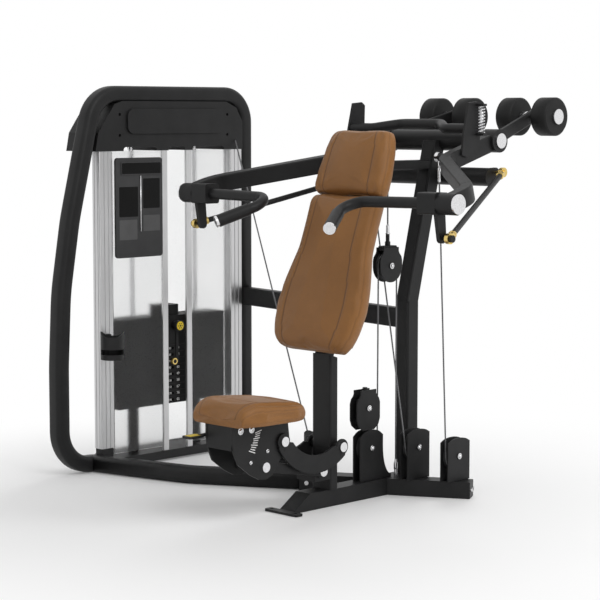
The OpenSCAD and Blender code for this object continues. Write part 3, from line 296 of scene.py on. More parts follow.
class Build:
    """Collects points and faces for one mesh."""

    def __init__(self):
        self.v, self.f = [], []

    def rings(self, rings, cap=True):
        start, m = len(self.v), len(rings[0])
        for r in rings:
            self.v.extend(r)
        for i in range(len(rings) - 1):
            for j in range(m):
                a, b = start + i * m + j, start + i * m + (j + 1) % m
                self.f.append((a, b, b + m, a + m))
        if cap:
            self.f.append(tuple(range(start + m - 1, start - 1, -1)))
            last = start + (len(rings) - 1) * m
            self.f.append(tuple(range(last, last + m)))
        return self

    def lathe(self, at, direction, profile, sides=28):
        """Turned form: profile is a list of (distance along, radius)."""
        u, v, w = axes_from(direction)
        o = Vector(at)
        return self.rings([[tuple(o + w * a + (u * math.cos(t) + v * math.sin(t)) * r)
                            for t in [2 * math.pi * k / sides for k in range(sides)]]
                           for a, r in profile])

    def tube(self, pts, r, sides=8):
        pts = [Vector(p) for p in pts]
        u, _, _ = axes_from(pts[1] - pts[0])
        rings = []
        for i, p in enumerate(pts):
            w = (pts[min(i + 1, len(pts) - 1)] - pts[max(i - 1, 0)]).normalized()
            u = (u - w * u.dot(w)).normalized()
            v = w.cross(u)
            rings.append([tuple(p + (u * math.cos(t) + v * math.sin(t)) * r)
                          for t in [2 * math.pi * k / sides for k in range(sides)]])
        return self.rings(rings)

    def wound(self, pts, d, pitch=46.0, strands=6):
        """Wire rope along a polyline: strands laid round its middle."""
        pts = [Vector(p) for p in pts]
        line, lengths = [pts[0]], [0.0]
        for a, b in zip(pts, pts[1:]):
            n = max(1, int(round((b - a).length / 4.6)))
            for k in range(1, n + 1):
                q = a + (b - a) * (k / n)
                lengths.append(lengths[-1] + (q - line[-1]).length)
                line.append(q)
        r = d / 6.0 * 1.08
        u, _, _ = axes_from(line[1] - line[0])
        frames = []
        for i, p in enumerate(line):
            w = (line[min(i + 1, len(line) - 1)] - line[max(i - 1, 0)]).normalized()
            u = (u - w * u.dot(w)).normalized()
            frames.append((p, u.copy(), w.cross(u)))
        for s in range(strands):
            path = []
            for (p, a, b), s_len in zip(frames, lengths):
                t = 2 * math.pi * (s / strands + s_len / pitch)
                path.append(p + (a * math.cos(t) + b * math.sin(t)) * (d / 2 - r))
            self.tube(path, r, 5)
        return self

    def plate(self, outline, at, ex, ey, ez, t):
        """Flat plate: outline in (ex, ey), thickness t along ez."""
        o, ex, ey, ez = Vector(at), Vector(ex), Vector(ey), Vector(ez)
        return self.rings([[tuple(o + ex * x + ey * y + ez * z) for x, y in outline] for z in (0, t)])

    def screw(self, at, direction, d, h):
        """Button head with a round recess."""
        r = d / 2
        return self.lathe(at, direction, [(0, r), (h * 0.35, r), (h * 0.75, r * 0.86), (h, r * 0.62),
                                          (h, r * 0.42), (h * 0.45, r * 0.40)], 24)

    def make(self, name, mat, body=None, slot=None, smooth=True):
        return piece(name, self.v, self.f, mat, body, smooth)


def rounded(w, h, r, n=5):
    """Rounded rectangle outline about the origin."""
    out = []
    for cx, cy, a0 in ((1, 1, 0), (-1, 1, 90), (-1, -1, 180), (1, -1, 270)):
        for k in range(n + 1):
            t = math.radians(a0 + 90 * k / n)
            out.append((cx * (w / 2 - r) + r * math.cos(t), cy * (h / 2 - r) + r * math.sin(t)))
    return out


def crisp(ob, angle=35):
    """Splits the shading at sharp edges."""
    mod = ob.modifiers.new("crisp", "EDGE_SPLIT")
    mod.split_angle = math.radians(angle)
    return ob


def filleted(pts, radii, step=6.0):
    """Points along a polyline whose corners are rounded to the given radii."""
    pts = [Vector(p) for p in pts]
    out = [pts[0]]
    for a, b, c, r in zip(pts, pts[1:], pts[2:], radii):
        to_a, to_c = (a - b).normalized(), (c - b).normalized()
        turn = to_a.angle(to_c)
        centre = b + (to_a + to_c).normalized() * (r / math.sin(turn / 2))
        ex = (b + to_a * (r / math.tan(turn / 2)) - centre).normalized()
        ey = -to_a
        sweep = math.pi - turn
        n = max(3, int(math.degrees(sweep) / step))
        out += [centre + (ex * math.cos(sweep * k / n) + ey * math.sin(sweep * k / n)) * r
                for k in range(n + 1)]
    return out + [pts[-1]]


def swept(path, outline, side):
    """Section swept along a path; side is the section's first axis at the start."""
    rings, u = [], Vector(side)
    for i, q in enumerate(path):
        w = (path[min(i + 1, len(path) - 1)] - path[max(i - 1, 0)]).normalized()
        u = (u - w * u.dot(w)).normalized()
        v = w.cross(u)
        rings.append([tuple(q + u * x + v * y) for x, y in outline])
    return Build().rings(rings)


def edged(ob, width, angle=40):
    """Rounds the sharp edges of a new piece."""
    bev = ob.modifiers.new("edges", "BEVEL")
    bev.width = width * MM
    bev.segments = 2
    bev.limit_method = "ANGLE"
    bev.angle_limit = math.radians(angle)
    bev.harden_normals = True
    return ob


# Hoop of the tower
HOOP_X, HOOP_Z = -1080, 1450.5
hoop_path = filleted([(HOOP_X, 618.3, 0.5), (HOOP_X, 618.3, HOOP_Z), (HOOP_X, -158, HOOP_Z),
                      (HOOP_X, -276, 975), (HOOP_X, -322, 700), (HOOP_X, -336, 420), (HOOP_X, -336, 32),
                      (HOOP_X, -178, 32), (-640, -64.5, 32), (-267, 150.8, 32)],
                     [110, 130, 900, 900, 900, 140, 15, 200])
hoop = swept(hoop_path, rounded(70, 62, 20, 6), X)
hoop = hoop.make("hoop_tube", black, "frame", "frame_black")
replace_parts(hoop, "tower_hoop")


# Cup holder
def band(b, mid, inner, outer, angles, low, high):
    """Part of a round wall whose upper edge follows high(angle)."""
    rings = []
    for a in angles:
        c, k = math.cos(math.radians(a)), math.sin(math.radians(a))
        rings.append([(mid[0] + r * c, mid[1] + r * k, z)
                      for r, z in ((inner, low), (outer, low), (outer, high(a)), (inner, high(a)))])
    b.rings(rings, cap=len(angles) > 1 and abs(angles[-1] - angles[0]) < 359)


CUP = (-1000, -140)
b = Build()
rim = range(0, 361, 6)
b.lathe((CUP[0], CUP[1], 438), UP, [(0, 40), (1.5, 42), (4, 42)], 60)
band(b, CUP, 40, 45.5, rim, 439, lambda a: 459)
band(b, CUP, 41, 45.5, range(70, 251, 6), 458.5, lambda a: 480)
band(b, CUP, 41, 45.5, rim, 479, lambda a: 526 + 20 * abs(math.cos(math.radians(a - 45))) ** 3)
b.plate(rounded(34, 84, 5), (-1049.6, -130, 490), Y, UP, X, 12)
cup = b.make("cup_cradle", plastic, "frame", "black_plastic", False)
cup.modifiers.new("weld", "WELD").merge_threshold = 0.00002
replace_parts(edged(cup, 1.0), "cup_holder")

# Cushions
RECLINE = math.radians(19.6)
SPINE_Y, SPINE_Z = -30.5, 522
SEAT_Y, SEAT_Z, SEAT_LEN = -370, 344.3, 290
BACK_RUN = 8


def on_spine(p):
    """From the back pads' own frame, which leans back with the spine."""
    x, y, z = p
    c, s = math.cos(RECLINE), math.sin(RECLINE)
    return (x, SPINE_Y + y * c + z * s, SPINE_Z - y * s + z * c)


def on_seat(p):
    """From the seat pad's own frame, whose length runs to the front."""
    return (p[0], SEAT_Y + SEAT_LEN / 2 - p[2], SEAT_Z - p[1])


def spline(keys, n):
    """Smooth curve through points with even spacing along it."""
    k = [np.array(p, float) for p in keys]
    k = [2 * k[0] - k[1]] + k + [2 * k[-1] - k[-2]]
    dense = []
    for i in range(1, len(k) - 2):
        a, b, c, d = k[i - 1:i + 3]
        for t in np.linspace(0, 1, 40, endpoint=False):
            dense.append(0.5 * (2 * b + (c - a) * t + (2 * a - 5 * b + 4 * c - d) * t * t
                                + (3 * b - a - 3 * c + d) * t ** 3))
    dense.append(k[-2])
    dense = np.array(dense)
    s = np.concatenate([[0], np.cumsum(np.linalg.norm(np.diff(dense, axis=0), axis=1))])
    at = np.linspace(0, s[-1], n)
    return np.stack([np.interp(at, s, dense[:, 0]), np.interp(at, s, dense[:, 1])], 1)


def stuff(ob, held, pressure=4.0, most=0.006, steps=20):
    """Blows the cover up from inside with cloth; held points stay, and most caps every move."""
    mesh = ob.data
    group = ob.vertex_groups.new(name="held")
    for i, w in enumerate(held):
        if w > 0.01:
            group.add([i], min(1.0, float(w)), "REPLACE")
    mod = ob.modifiers.new("stuffing", "CLOTH")
    cloth = mod.settings
    cloth.quality = 6
    cloth.mass = 0.25
    cloth.tension_stiffness = 18
    cloth.compression_stiffness = 18
    cloth.shear_stiffness = 6
    cloth.bending_stiffness = 0.6
    cloth.use_pressure = True
    cloth.uniform_pressure_force = pressure
    cloth.vertex_group_mass = "held"
    cloth.effector_weights.gravity = 0
    mod.collision_settings.use_collision = False
    mod.point_cache.frame_start = 1
    mod.point_cache.frame_end = steps
    for k in range(1, steps + 1):
        scene.frame_set(k)
    shape = ob.evaluated_get(bpy.context.evaluated_depsgraph_get()).data
    n = len(mesh.vertices)
    new, old = np.empty(3 * n, np.float32), np.empty(3 * n, np.float32)
    shape.vertices.foreach_get("co", new)
    mesh.vertices.foreach_get("co", old)
    step = (new - old).reshape(n, 3)
    size = np.linalg.norm(step, axis=1)
    step *= np.minimum(1.0, most / np.maximum(size, 1e-9))[:, None]
    ob.modifiers.remove(mod)
    ob.vertex_groups.remove(group)
    mesh.vertices.foreach_set("co", (old.reshape(n, 3) + step).ravel())
    mesh.update()
    scene.frame_set(1)


def cushion(name, node, length, widths, t, crown, seam, place, body, end_r=44.0, wedge=0.0,
            nose=None):
    """Sewn pad: a loft with two lengthwise seams in its front face and one round its edge."""
    wu = [w[0] for w in widths]
    wv = [w[1] for w in widths]
    fine = np.linspace(0, 1, 200)
    soft = np.interp(fine, wu, wv)
    kernel = np.hanning(27)
    kernel /= kernel.sum()
    soft = np.convolve(np.pad(soft, 13, mode="edge"), kernel, mode="valid")
    last = nose or end_r
    zs = np.concatenate([np.linspace(0, 1, 9) ** 2 * end_r, np.linspace(end_r, length - last, 60)[1:-1],
                         length - np.linspace(1, 0, 13) ** 2 * last])
    half = 61
    rings, marks, fast = [], [], []
    flat = t
    for z in zs:
        u = z / length
        t = flat * (1 + wedge * (2 * u - 1))
        front = nose is not None and z > length / 2
        e = min(z, length - z) / (nose if front else end_r)
        f = math.sqrt(max(0.0, 1 - (1 - e) ** 2)) if e < 1 else 1.0
        w = float(np.interp(u, fine, soft)) - 30 * (1 - f)
        least = 0.34 if front else 0.60
        h, tt = w / 2, t * (least + (1 - least) * f)
        c = crown * math.sin(math.pi * min(max(u, 0.0), 1.0)) ** 0.6
        sx = seam * w
        keys = [(0, tt + c), (0.5 * sx, tt + 0.93 * c), (sx, tt + 0.62 * c - 1.2),
                (0.5 * (sx + h) - 3, tt - 0.06 * tt), (h - 10, 0.86 * tt), (h - 1.5, 0.66 * tt),
                (h, 0.46 * tt), (h - 3, 0.22 * tt), (h - 12, 0)]
        side = spline(keys, half)
        tang = np.gradient(side, axis=0)
        tang /= np.linalg.norm(tang, axis=1)[:, None] + 1e-9
        norm = np.stack([-tang[:, 1], tang[:, 0]], 1)
        norm *= np.where((norm @ np.array([0.3, 1.0])) < 0, -1, 1)[:, None]
        arc = np.concatenate([[0], np.cumsum(np.linalg.norm(np.diff(side, axis=0), axis=1))])
        i_seam = int(np.argmin(np.abs(side[:, 0] - sx) + (np.arange(half) > half * 0.7) * 1e6))
        low = np.where(side[:, 1] < 0.70 * tt)[0]
        i_edge = int(low[0]) if len(low) else half - 8
        mark = np.zeros(half)
        for i0, depth, wide, dark in ((i_seam, 2.6, 3.0, 0.85), (i_edge, 1.6, 2.6, 0.35)):
            g = np.exp(-((arc - arc[i0]) / wide) ** 2)
            side = side - norm * (g * depth * min(1.0, e * 1.6))[:, None]
            mark = np.maximum(mark, np.exp(-((arc - arc[i0]) / 1.7) ** 2) * dark)
        ring = [(-x, -y) for x, y in side[::-1]] + [(x, -y) for x, y in side[1:]]
        m = list(mark[::-1]) + list(mark[1:])
        hold = np.clip(np.maximum(mark * 1.25, (side[:, 1] < 0.12 * tt) * 1.0), 0, 1)
        fast += list(hold[::-1]) + list(hold[1:]) + [1.0] * (BACK_RUN - 1)
        # Closing run along the flat back
        x0, x1 = ring[-1][0], ring[0][0]
        for k in range(1, BACK_RUN):
            ring.append((x0 + (x1 - x0) * k / BACK_RUN, 0.0))
            m.append(0.0)
        rings.append([place((x, y, z)) for x, y in ring])
        marks.append(m)
    b = Build()
    b.rings(rings, cap=False)
    seams = [v for m in marks for v in m]
    m = len(rings[0])
    # Rounded end panels, drawn in to the middle in steps
    for first, ring_id, out in ((True, 0, -1), (False, len(rings) - 1, 1)):
        base = ring_id * m
        outline = [Vector(p) for p in rings[ring_id]]
        mid = sum(outline, Vector()) / m
        prev = [base + j for j in range(m)]
        axis = (Vector(place((0, 0, 1))) - Vector(place((0, 0, 0)))) * out
        for shrink, lift in ((0.94, 1.6), (0.82, 2.6), (0.6, 3.2), (0.3, 3.6)):
            now = []
            for p in outline:
                b.v.append(tuple(mid + (p - mid) * shrink + axis * lift * 0.5))
                seams.append(0.0)
                now.append(len(b.v) - 1)
            for j in range(m):
                q = (prev[j], prev[(j + 1) % m], now[(j + 1) % m], now[j])
                b.f.append(q if not first else q[::-1])
            prev = now
        b.f.append(tuple(prev) if not first else tuple(prev[::-1]))
    ob = piece(name, b.v, b.f, leather, None, True, seams)
    stuff(ob, fast + [0.0] * (len(b.v) - len(fast)))
    sub = ob.modifiers.new("round", "SUBSURF")
    sub.levels = 1
    sub.render_levels = 1
    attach(ob, body)
    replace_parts(ob, node)
    return ob


BW, TW, SW = 400, 320, 310
BOARD_T = 14.3
back_widths = [(0, 0.76 * BW), (0.06, 0.88 * BW), (0.14, 0.95 * BW), (0.27, BW), (0.4, 0.96 * BW),
               (0.52, 0.5 * BW + 0.48 * TW), (0.64, TW), (0.8, TW - 4), (1, TW)]
cushion("back_cushion", "back_pad", 560, back_widths, 76, 8, 0.35,
        lambda p: on_spine((p[0], p[1] - BOARD_T, p[2] + 22)), "frame", end_r=40)
cushion("head_cushion", "head_pad", 236, [(0, 330), (0.35, 326), (0.7, 304), (1, 264)], 70, 9, 0.33,
        lambda p: on_spine((p[0], p[1] - BOARD_T, p[2] + 586)), "frame", end_r=36)
cushion("seat_pad", "seat_cushion", SEAT_LEN, [(0, 0.88 * SW), (0.2, SW), (0.7, SW - 8), (1, 0.86 * SW)],
        72, 7, 0.36, on_seat, "seat", end_r=30, wedge=0.17, nose=84)

# Cables
FLOOR_WHEELS = [(0, 222, 178), (100, 362.735, 176), (228, 436.636, 150), (-232, 184.519, 150)]
BLOCK_X, BLOCK_Y, BLOCK_Z = FLOAT = (20, 300, 832)
GROOVE = 48.4


def follow(ob):
    """Bakes ob's placement into its mesh and returns it."""
    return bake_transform(ob)


def arc(mid, r, a0, a1, ex, ez, n=14):
    ex, ez = Vector(ex), Vector(ez)
    return [tuple(Vector(mid) + ex * (r * math.cos(a)) + ez * (r * math.sin(a)))
            for a in np.radians(np.linspace(a0, a1, n))]


ROPE_D = 6
STUB_X = 169
STACK_X, STACK_Y = -1132, 235
STUB_Y = 405
STUB_Z = 1278 + (1085 - 1278) / (-66 - 603) * (STUB_Y - 603)
cable_nodes = []
for side, wheel, name in ((1, 2, "left_arm_cable"), (-1, 1, "right_arm_cable")):
    w = FLOOR_WHEELS[wheel]
    top = Vector((side * STUB_X, STUB_Y, STUB_Z - 16.4))
    low = Vector((w[0], w[1] - 50.4, w[2]))
    lead = (low - top).normalized()
    turn = arc(w, GROOVE + 1.6, 184, 268, Y, UP)
    rope = Build().wound([tuple(top + lead * 52), tuple(low)] + turn, ROPE_D)
    rope = rope.make(name, strand, None, "cable_steel")
    follow(rope)
    end = Build()
    end.lathe(top, lead, [(0, 5), (1, 6.5), (15, 6.5), (16, 4.2), (22, 4.2), (23, 7.2), (33, 7.2),
                          (34, 5.2), (68, 5.2), (72, 3.4)], 20)
    fitting = crisp(end.make(name + "_end", chrome, None, "bright_steel"))
    follow(fitting)
    eye = Build()
    eye.lathe((side * STUB_X - 7, STUB_Y, STUB_Z), X, [(0, 14.2), (0, 18.4), (14, 18.4), (14, 14.2)], 36)
    press = "left_press" if side > 0 else "right_press"
    crisp(eye.make(name + "_eye", chrome, press, "bright_steel"))
    cable_nodes.append(rope)
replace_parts(cable_nodes[0], "arm_cables")

under = arc(FLOOR_WHEELS[0], GROOVE, -80, 0, Y, UP)
over = arc(FLOAT, GROOVE, 180, 0, Y, UP)
lift = Build().wound(under + [(0, 270.4, 188)] + over + [(BLOCK_X, 348.4, 84.3)], ROPE_D)
lift = lift.make("lift_cable", strand, None, "cable_steel")
follow(lift)
ends_at = [(BLOCK_X, BLOCK_Y, 948.3), (BLOCK_X, BLOCK_Y, 1172.7)]
hang = Build().wound(ends_at, ROPE_D).make("hanger_cable", strand, None, "cable_steel")
follow(hang)
ends_at = [(STACK_X, STACK_Y, 616.4), (STACK_X, STACK_Y, 1246.6)]
rise = Build().wound(ends_at, ROPE_D).make("stack_cable", strand, None, "cable_steel")
follow(rise)
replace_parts(lift, "stack_cables")

YAW4 = math.atan2(818, 526 - 184.519)
SIDE4 = Vector((-math.sin(YAW4), math.cos(YAW4), 0))
W4 = Vector(FLOOR_WHEELS[3])
AX4 = Vector((math.cos(YAW4), math.sin(YAW4), 0))
main = Build().wound([(-1042, 546, 1268), tuple(W4 + SIDE4 * GROOVE + Vector((0, 0, 20)))]
                     + arc(W4, GROOVE, 12, 180, SIDE4, UP)
                     + [tuple(W4 - SIDE4 * GROOVE - Vector((0, 0, 85.4)))], ROPE_D)
main = main.make("main_rope", strand, "frame", "cable_steel")
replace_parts(main, "main_cable")

# Sleeves pressed on the rope ends, and the anchor eye at the rail
ends = Build()
ends.lathe((BLOCK_X, 348.4, 84.2), UP, [(0, 6.5), (2, 7.4), (24, 7.4), (27, 5.2), (34, 4.4), (38, 3.2)],
           20)
crisp(ends.make("anchor_end", chrome, "frame", "bright_steel"))
ends = Build()
ends.lathe((BLOCK_X, BLOCK_Y, 946), UP, [(0, 8.5), (3, 8.5), (4, 6.2), (30, 6.2), (33, 3.4)], 20)
crisp(ends.make("hanger_end", chrome, "block", "bright_steel"))
ends = Build()
ends.lathe((STACK_X, STACK_Y, 612), UP, [(0, 9), (6, 9), (7, 6), (34, 6), (38, 3.4)], 20)
crisp(ends.make("stack_end", chrome, "stack", "bright_steel"))


# Pulley housings
def dome(half, foot, head, shoulder, tail=0.0):
    """Side plate outline: straight sides, a shallow dome and, with a tail, a long hollow foot."""
    top = [(half * math.cos(math.radians(a)) if abs(a - 90) < 62 else half * math.copysign(1, 90 - a),
            shoulder + (head - shoulder) * math.sin(math.radians(a)) ** 0.8) for a in range(0, 181, 10)]
    right = [(half, -foot)]
    if tail:
        reach, rise = tail - half, foot - 12
        right = [(tail, -foot), (tail, 12 - foot)] + [
            (half + reach * (1 - math.sin(a)), 12 - foot + rise * (1 - math.cos(a)))
            for a in np.radians(range(10, 91, 10))]
    return [(-half, -foot)] + right + top


def housing(b, at, along, across, outline):
    """Two side plates, the axle through them and its ends."""
    o, a, n = Vector(at), Vector(along), Vector(across)
    for s in (14, -19):
        b.plate(outline, tuple(o + n * s), a, UP, n, 5)
    b.lathe(tuple(o - n * 22), n, [(0, 6.4), (0.8, 7.0), (43.2, 7.0), (44, 6.4)], 24)


b = Build()
housing(b, FLOOR_WHEELS[0], Y, X, dome(60, 117.9, 66, 26, 104))
housing(b, FLOOR_WHEELS[1], Y, X, dome(60, 115.9, 66, 40))
housing(b, FLOOR_WHEELS[2], Y, X, dome(60, 89.9, 66, 40))
housing(b, FLOOR_WHEELS[3], SIDE4, AX4, dome(60, 85.6, 66, 40))
CLOSED_Y, CLOSED_Z = 205, 324
half_closed = [(30, -79.4), (52, -62), (60, -40), (60, 18), (54, 34), (44, 44), (40, 52), (40, 66)]
closed = [(-30, -79.4)] + half_closed + [(-x, z) for x, z in half_closed[:0:-1]]
housing(b, (0, CLOSED_Y, CLOSED_Z), Y, X, closed)
b.plate(rounded(76, 66, 8), (-14, CLOSED_Y, CLOSED_Z), Y, UP, X, 28)
b.lathe((0, CLOSED_Y, CLOSED_Z + 58), UP, [(0, 12), (10, 12), (11, 9), (16, 9)], 24)
plates = b.make("housing_plates", black, "frame", "frame_black", False)
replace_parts(edged(plates, 1.2), "pulley_housings")
b = Build()
neck = [(34, 66), (40, 66), (40, 52), (44, 44), (54, 32), (58, 18)]
floating = ([(-x, z) for x, z in neck]
            + [(-58 * math.cos(a), -2 - 58 * math.sin(a)) for a in np.radians(range(0, 181, 12))]
            + neck[::-1])
housing(b, FLOAT, Y, X, floating)
b.plate(rounded(70, 20, 5), (BLOCK_X - 14, BLOCK_Y, BLOCK_Z + 62), Y, UP, X, 28)
b.lathe((BLOCK_X, BLOCK_Y, BLOCK_Z + 72), UP, [(0, 10), (14, 10), (15, 7), (44, 7), (45, 6.4)], 24)
plates = b.make("floating_plates", black, "block", "frame_black", False)
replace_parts(edged(plates, 1.2), "floating_block")

# Springs on the latch plates
lo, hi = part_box("latch_springs")
spring_x = hi[0] / MM - 14
SPRING_Y, SPRING_Z = 480, 1306
coils = []
for side, name in ((1, "left_spring"), (-1, "right_spring")):
    r, wire, turns, length, per_turn = 12.4, 3.2, 9, 96.0, 24
    pts = []
    for k in range(turns * per_turn + 1):
        t = 2 * math.pi * k / per_turn
        pts.append((side * (spring_x + r * math.cos(t)), SPRING_Y + r * math.sin(t),
                    SPRING_Z + wire / 2 + 0.2 + (length - wire - 0.4) * k / (turns * per_turn)))
    coils.append(Build().tube(pts, wire / 2, 8).make(name, chrome, "left_press", "bright_steel"))
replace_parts(coils[0], "latch_springs")


# Screws, caps and collars
def screws(name, places, body, d=14.0, h=5.0, mat=None):
    b = Build()
    for at, direction in places:
        w = Vector(direction).normalized()
        b.lathe(tuple(Vector(at)), direction, [(0, d * 0.72), (1.6, d * 0.72), (1.9, d * 0.66)], 28)
        b.screw(tuple(Vector(at) + w * 1.9), direction, d, h)
    return crisp(b.make(name, mat or chrome, body, "bright_steel"), 28)


pulley = []
for w in FLOOR_WHEELS[:3]:
    pulley += [((w[0] + 22, w[1], w[2]), X), ((w[0] - 22, w[1], w[2]), BACK_X)]
pulley += [(tuple(W4 + AX4 * 22), AX4), (tuple(W4 - AX4 * 22), -AX4), ((22, CLOSED_Y, CLOSED_Z), X)]
screws("pulley_bolts", pulley, "frame", 15, 5)
block = [((BLOCK_X + 22, BLOCK_Y, BLOCK_Z), X), ((BLOCK_X - 22, BLOCK_Y, BLOCK_Z), BACK_X)]
screws("block_bolts", block, "block", 15, 5)
PLATE_X = 66.35
screws("carriage_bolts", [((PLATE_X, -470, 326), X), ((PLATE_X, -420, 326), X)], "seat", 17, 5)
screws("carriage_small_bolts", [((PLATE_X, -346, 244), X), ((PLATE_X, -424, 214), X)], "seat", 9, 4)

# Tick marks for the seat height
ticks = Build()
for k in range(10):
    u = k / 9
    long = 30 if k % 3 == 0 else 22
    mid = Vector((PLATE_X, -388 - 30 * u ** 1.15, 316 - 66 * u))
    along = Vector((0, math.cos(math.radians(14 - 34 * u)), math.sin(math.radians(14 - 34 * u))))
    cross = Vector((0, -along.z, along.y))
    bar = [(-long / 2, -1.5), (long / 2, -1.5), (long / 2, 1.5), (-long / 2, 1.5)]
    ticks.plate(bar, mid, along, cross, X, 0.4)
ticks.make("seat_scale", white, "seat", None, False)

# Yellow passivated collars at the ends of the parallel links
REAR, FRONT = Vector((290, 615, 1165)), Vector((612, -54, 972))
LEAD = (FRONT - REAR).normalized()
for side, body in ((1, "left_tie"), (-1, "right_tie")):
    b = Build()
    for at, way in ((REAR, LEAD), (FRONT, -LEAD)):
        p = Vector((at.x * side, at.y, at.z))
        d = Vector((way.x * side, way.y, way.z))
        b.lathe(tuple(p + d * 19), d, [(0, 10.4), (1, 12.6), (15, 12.6), (16, 10.4), (17, 10.4),
                                       (18, 14), (27, 14), (28, 10.3)], 26)
        b.lathe((p.x - 7.2, p.y, p.z), X, [(0, 12.2), (0, 17.6), (14.4, 17.6), (14.4, 12.2)], 36)
    crisp(b.make(body + "_collars", zinc, body, "zinc_yellow"), 28)


# Plate numbers
def number(name, value, at, size, body):
    cu = bpy.data.curves.new(name, "FONT")
    cu.body = str(value)
    cu.size = size * MM * 1.36
    cu.align_x = "CENTER"
    cu.align_y = "CENTER"
    cu.extrude = 0.00012
    tmp = bpy.data.objects.new(name + "_text", cu)
    scene.collection.objects.link(tmp)
    bpy.context.view_layer.update()
    mesh = bpy.data.meshes.new_from_object(tmp.evaluated_get(bpy.context.evaluated_depsgraph_get()))
    bpy.data.objects.remove(tmp)
    mesh.transform(Matrix(((0, 0, 1, at[0] * MM), (1, 0, 0, at[1] * MM), (0, 1, 0, at[2] * MM),
                           (0, 0, 0, 1))))
    mesh.materials.clear()
    mesh.materials.append(white)
    ob = bpy.data.objects.new(name, mesh)
    scene.collection.objects.link(ob)
    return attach(ob, body)


PLATES, LIFTED, PLATE_PITCH, PLATE_LOW, PLATE_FACE = 9, 3, 26, 222, -1079.7
for i in range(PLATES):
    z = PLATE_LOW + PLATE_PITCH * i + 12.7
    body = "stack" if i >= PLATES - LIFTED else "frame"
    number("plate_number_%d" % (PLATES - i), 190 - 20 * i, (PLATE_FACE, 219.5, z), 8.6, body)
    number("plate_second_%d" % (PLATES - i), 85 - 9 * i, (PLATE_FACE, 263, z), 11, body)

# Faces of the weight knob and the selector pin
KNOB_Y, KNOB_Z, DOT_X = 247, 534, -1045.9
b = Build()
b.lathe((-1047.0, KNOB_Y, KNOB_Z), X, [(0, 17.5), (0.8, 17.5), (1.1, 16.9)], 40)
b.make("knob_face", yellow, "knob", "black_plastic")
b = Build()
for k in range(6):
    t = math.radians(60 * k)
    dot = (DOT_X, KNOB_Y + 9.5 * math.cos(t), KNOB_Z + 9.5 * math.sin(t))
    b.lathe(dot, X, [(0, 2.6), (0.25, 2.6)], 16)
b.lathe((DOT_X, KNOB_Y, KNOB_Z), X, [(0, 4.0), (0.25, 4.0)], 20)
b.make("knob_dots", plastic, "knob", "black_plastic")
lo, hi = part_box("selector_pin")
b = Build()
b.lathe((hi[0] / MM, STACK_Y, 390.7), X, [(0, 8.2), (0.5, 8.2), (0.8, 7.6)], 28)
b.make("pin_face", plastic, "selector", "black_plastic")

# Bare fields on the placard
lo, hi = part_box("placard")
y0, y1, z0, z1 = lo[1] / MM, hi[1] / MM, lo[2] / MM, hi[2] / MM
FACE = -1039.7
w, h = y1 - y0, z1 - z0


def panel(name, yc, zc, wide, high, mat, r=4.0, t=0.5):
    b = Build().plate(rounded(wide, high, r), (FACE, yc, zc), Y, UP, X, t)
    return b.make(name, mat, "frame", "black_plastic", False)


head = Build().plate(rounded(w - 40, 42, 4), (-1035.65, (y0 + y1) / 2 + 8, z1 - 41), Y, UP, X, 0.5)
head.make("placard_header", deep_field, "frame", "black_plastic", False)
panel("placard_field_a", y0 + 0.27 * w, z1 - 0.44 * h, 0.40 * w, 0.30 * h, deep_field)
panel("placard_field_b", y0 + 0.76 * w, z1 - 0.36 * h, 0.36 * w, 0.30 * h, deep_field)
panel("placard_field_c", y0 + 0.26 * w, z1 - 0.72 * h, 0.38 * w, 0.20 * h, field)
panel("placard_field_d", y0 + 0.76 * w, z1 - 0.66 * h, 0.36 * w, 0.16 * h, field)
b = Build()
b.tube([(FACE + 2.6, y0 + 0.52 * w, z1 - 0.18 * h), (FACE + 2.6, y0 + 0.52 * w, z1 - 0.74 * h)],
       2.6, 12)
b.make("placard_rod", chrome, "frame", "bright_steel")

# Yellow insert on the release lever's paddle
insert = Build().plate(rounded(32, 52, 6), (-82.9, -548, 304.02), X, Y, UP, 0.5)
insert.make("lever_insert", yellow, "lever", "black_plastic", False)


# Floor, light and camera
def sight(tree):
    """1 for camera, glossy and transmission rays, which see plain white."""
    rays = tree.nodes.new("ShaderNodeLightPath")
    sock = rays.outputs["Is Camera Ray"]
    for ray in ("Is Glossy Ray", "Is Transmission Ray"):
        either = tree.nodes.new("ShaderNodeMath")
        either.operation = "MAXIMUM"
        tree.links.new(sock, either.inputs[0])
        tree.links.new(rays.outputs[ray], either.inputs[1])
        sock = either.outputs[0]
    return sock


FLOOR_HALF, FLOOR_Z, FADE_FROM, FADE_TO = 30, -0.0008, 0.7, 2.3
floor_mat = Shader("studio_floor")
floor_mat.set(Roughness=0.9, Specular_IOR_Level=0.1)
floor_mat.color(floor_mat.ramp(floor_mat.noise(0.6, 2.0),
                               [(0.3, (0.86, 0.86, 0.86)), (0.7, (0.88, 0.88, 0.88))]))
geo = floor_mat.new("ShaderNodeNewGeometry")
far = floor_mat.new("ShaderNodeVectorMath", operation="LENGTH")
floor_mat.link(geo.outputs["Position"], far.inputs[0])
away = floor_mat.new("ShaderNodeMapRange", interpolation_type="SMOOTHSTEP")
away.inputs["From Min"].default_value = FADE_FROM
away.inputs["From Max"].default_value = FADE_TO
floor_mat.link(far.outputs["Value"], away.inputs["Value"])
glow = floor_mat.new("ShaderNodeEmission")
cover = floor_mat.new("ShaderNodeMixShader")
share = floor_mat.new("ShaderNodeMath", operation="MULTIPLY")
floor_mat.link(away.outputs["Result"], share.inputs[0])
floor_mat.link(sight(floor_mat.tree), share.inputs[1])
floor_mat.link(share.outputs[0], cover.inputs[0])
floor_mat.link(floor_mat.bsdf.outputs[0], cover.inputs[1])
floor_mat.link(glow.outputs[0], cover.inputs[2])
floor_mat.link(cover.outputs[0], floor_mat.tree.nodes["Material Output"].inputs["Surface"])
fm = bpy.data.meshes.new("studio_floor")
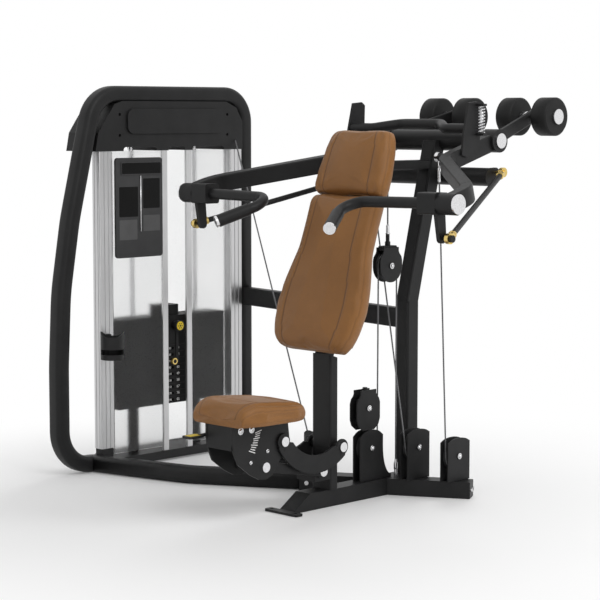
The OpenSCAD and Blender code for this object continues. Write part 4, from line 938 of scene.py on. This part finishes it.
corners = ((-1, -1), (1, -1), (1, 1), (-1, 1))
fm.from_pydata([(FLOOR_HALF * x, FLOOR_HALF * y, FLOOR_Z) for x, y in corners], [], [(0, 1, 2, 3)])
fm.materials.append(floor_mat.mat)
floor = bpy.data.objects.new("studio_floor", fm)
scene.collection.objects.link(floor)

world = bpy.data.worlds.new("studio")
scene.world = world
world.use_nodes = True
wt = world.node_tree
wt.nodes.clear()
out = wt.nodes.new("ShaderNodeOutputWorld")
both = wt.nodes.new("ShaderNodeMixShader")
seen = wt.nodes.new("ShaderNodeBackground")
fill = wt.nodes.new("ShaderNodeBackground")
seen.inputs["Color"].default_value = (1, 1, 1, 1)
seen.inputs["Strength"].default_value = 1.0
fill.inputs["Color"].default_value = (1, 1, 1, 1)
fill.inputs["Strength"].default_value = 0.62
wt.links.new(sight(wt), both.inputs[0])
wt.links.new(fill.outputs[0], both.inputs[1])
wt.links.new(seen.outputs[0], both.inputs[2])
wt.links.new(both.outputs[0], out.inputs["Surface"])


def area(name, at, aim, size, power):
    light = bpy.data.lights.new(name, "AREA")
    light.shape = "DISK"
    light.size = size
    light.energy = power
    ob = bpy.data.objects.new(name, light)
    scene.collection.objects.link(ob)
    ob.location = at
    ob.rotation_euler = (Vector(aim) - Vector(at)).to_track_quat("-Z", "Y").to_euler()
    return ob


area("key", (4.6, -1.0, 4.8), (-0.2, 0.1, 0.7), 3.4, 120)
area("side", (4.6, 2.6, 3.0), (0.0, 0.2, 0.8), 2.8, 90).visible_glossy = False
area("back", (-2.5, 4.0, 4.2), (-0.2, 0.3, 0.7), 3.0, 90).visible_glossy = False

cam = bpy.data.cameras.new("camera")
cam.lens = 114
cam.sensor_width = 36
cam.clip_end = 100
cam_ob = bpy.data.objects.new("camera", cam)
scene.collection.objects.link(cam_ob)
cam_ob.location = (4.6119, -4.7367, 1.375)
cam_ob.rotation_euler = (math.radians(90 - 5.6), 0, math.radians(45))
scene.camera = cam_ob
scene.view_settings.view_transform = "Standard"
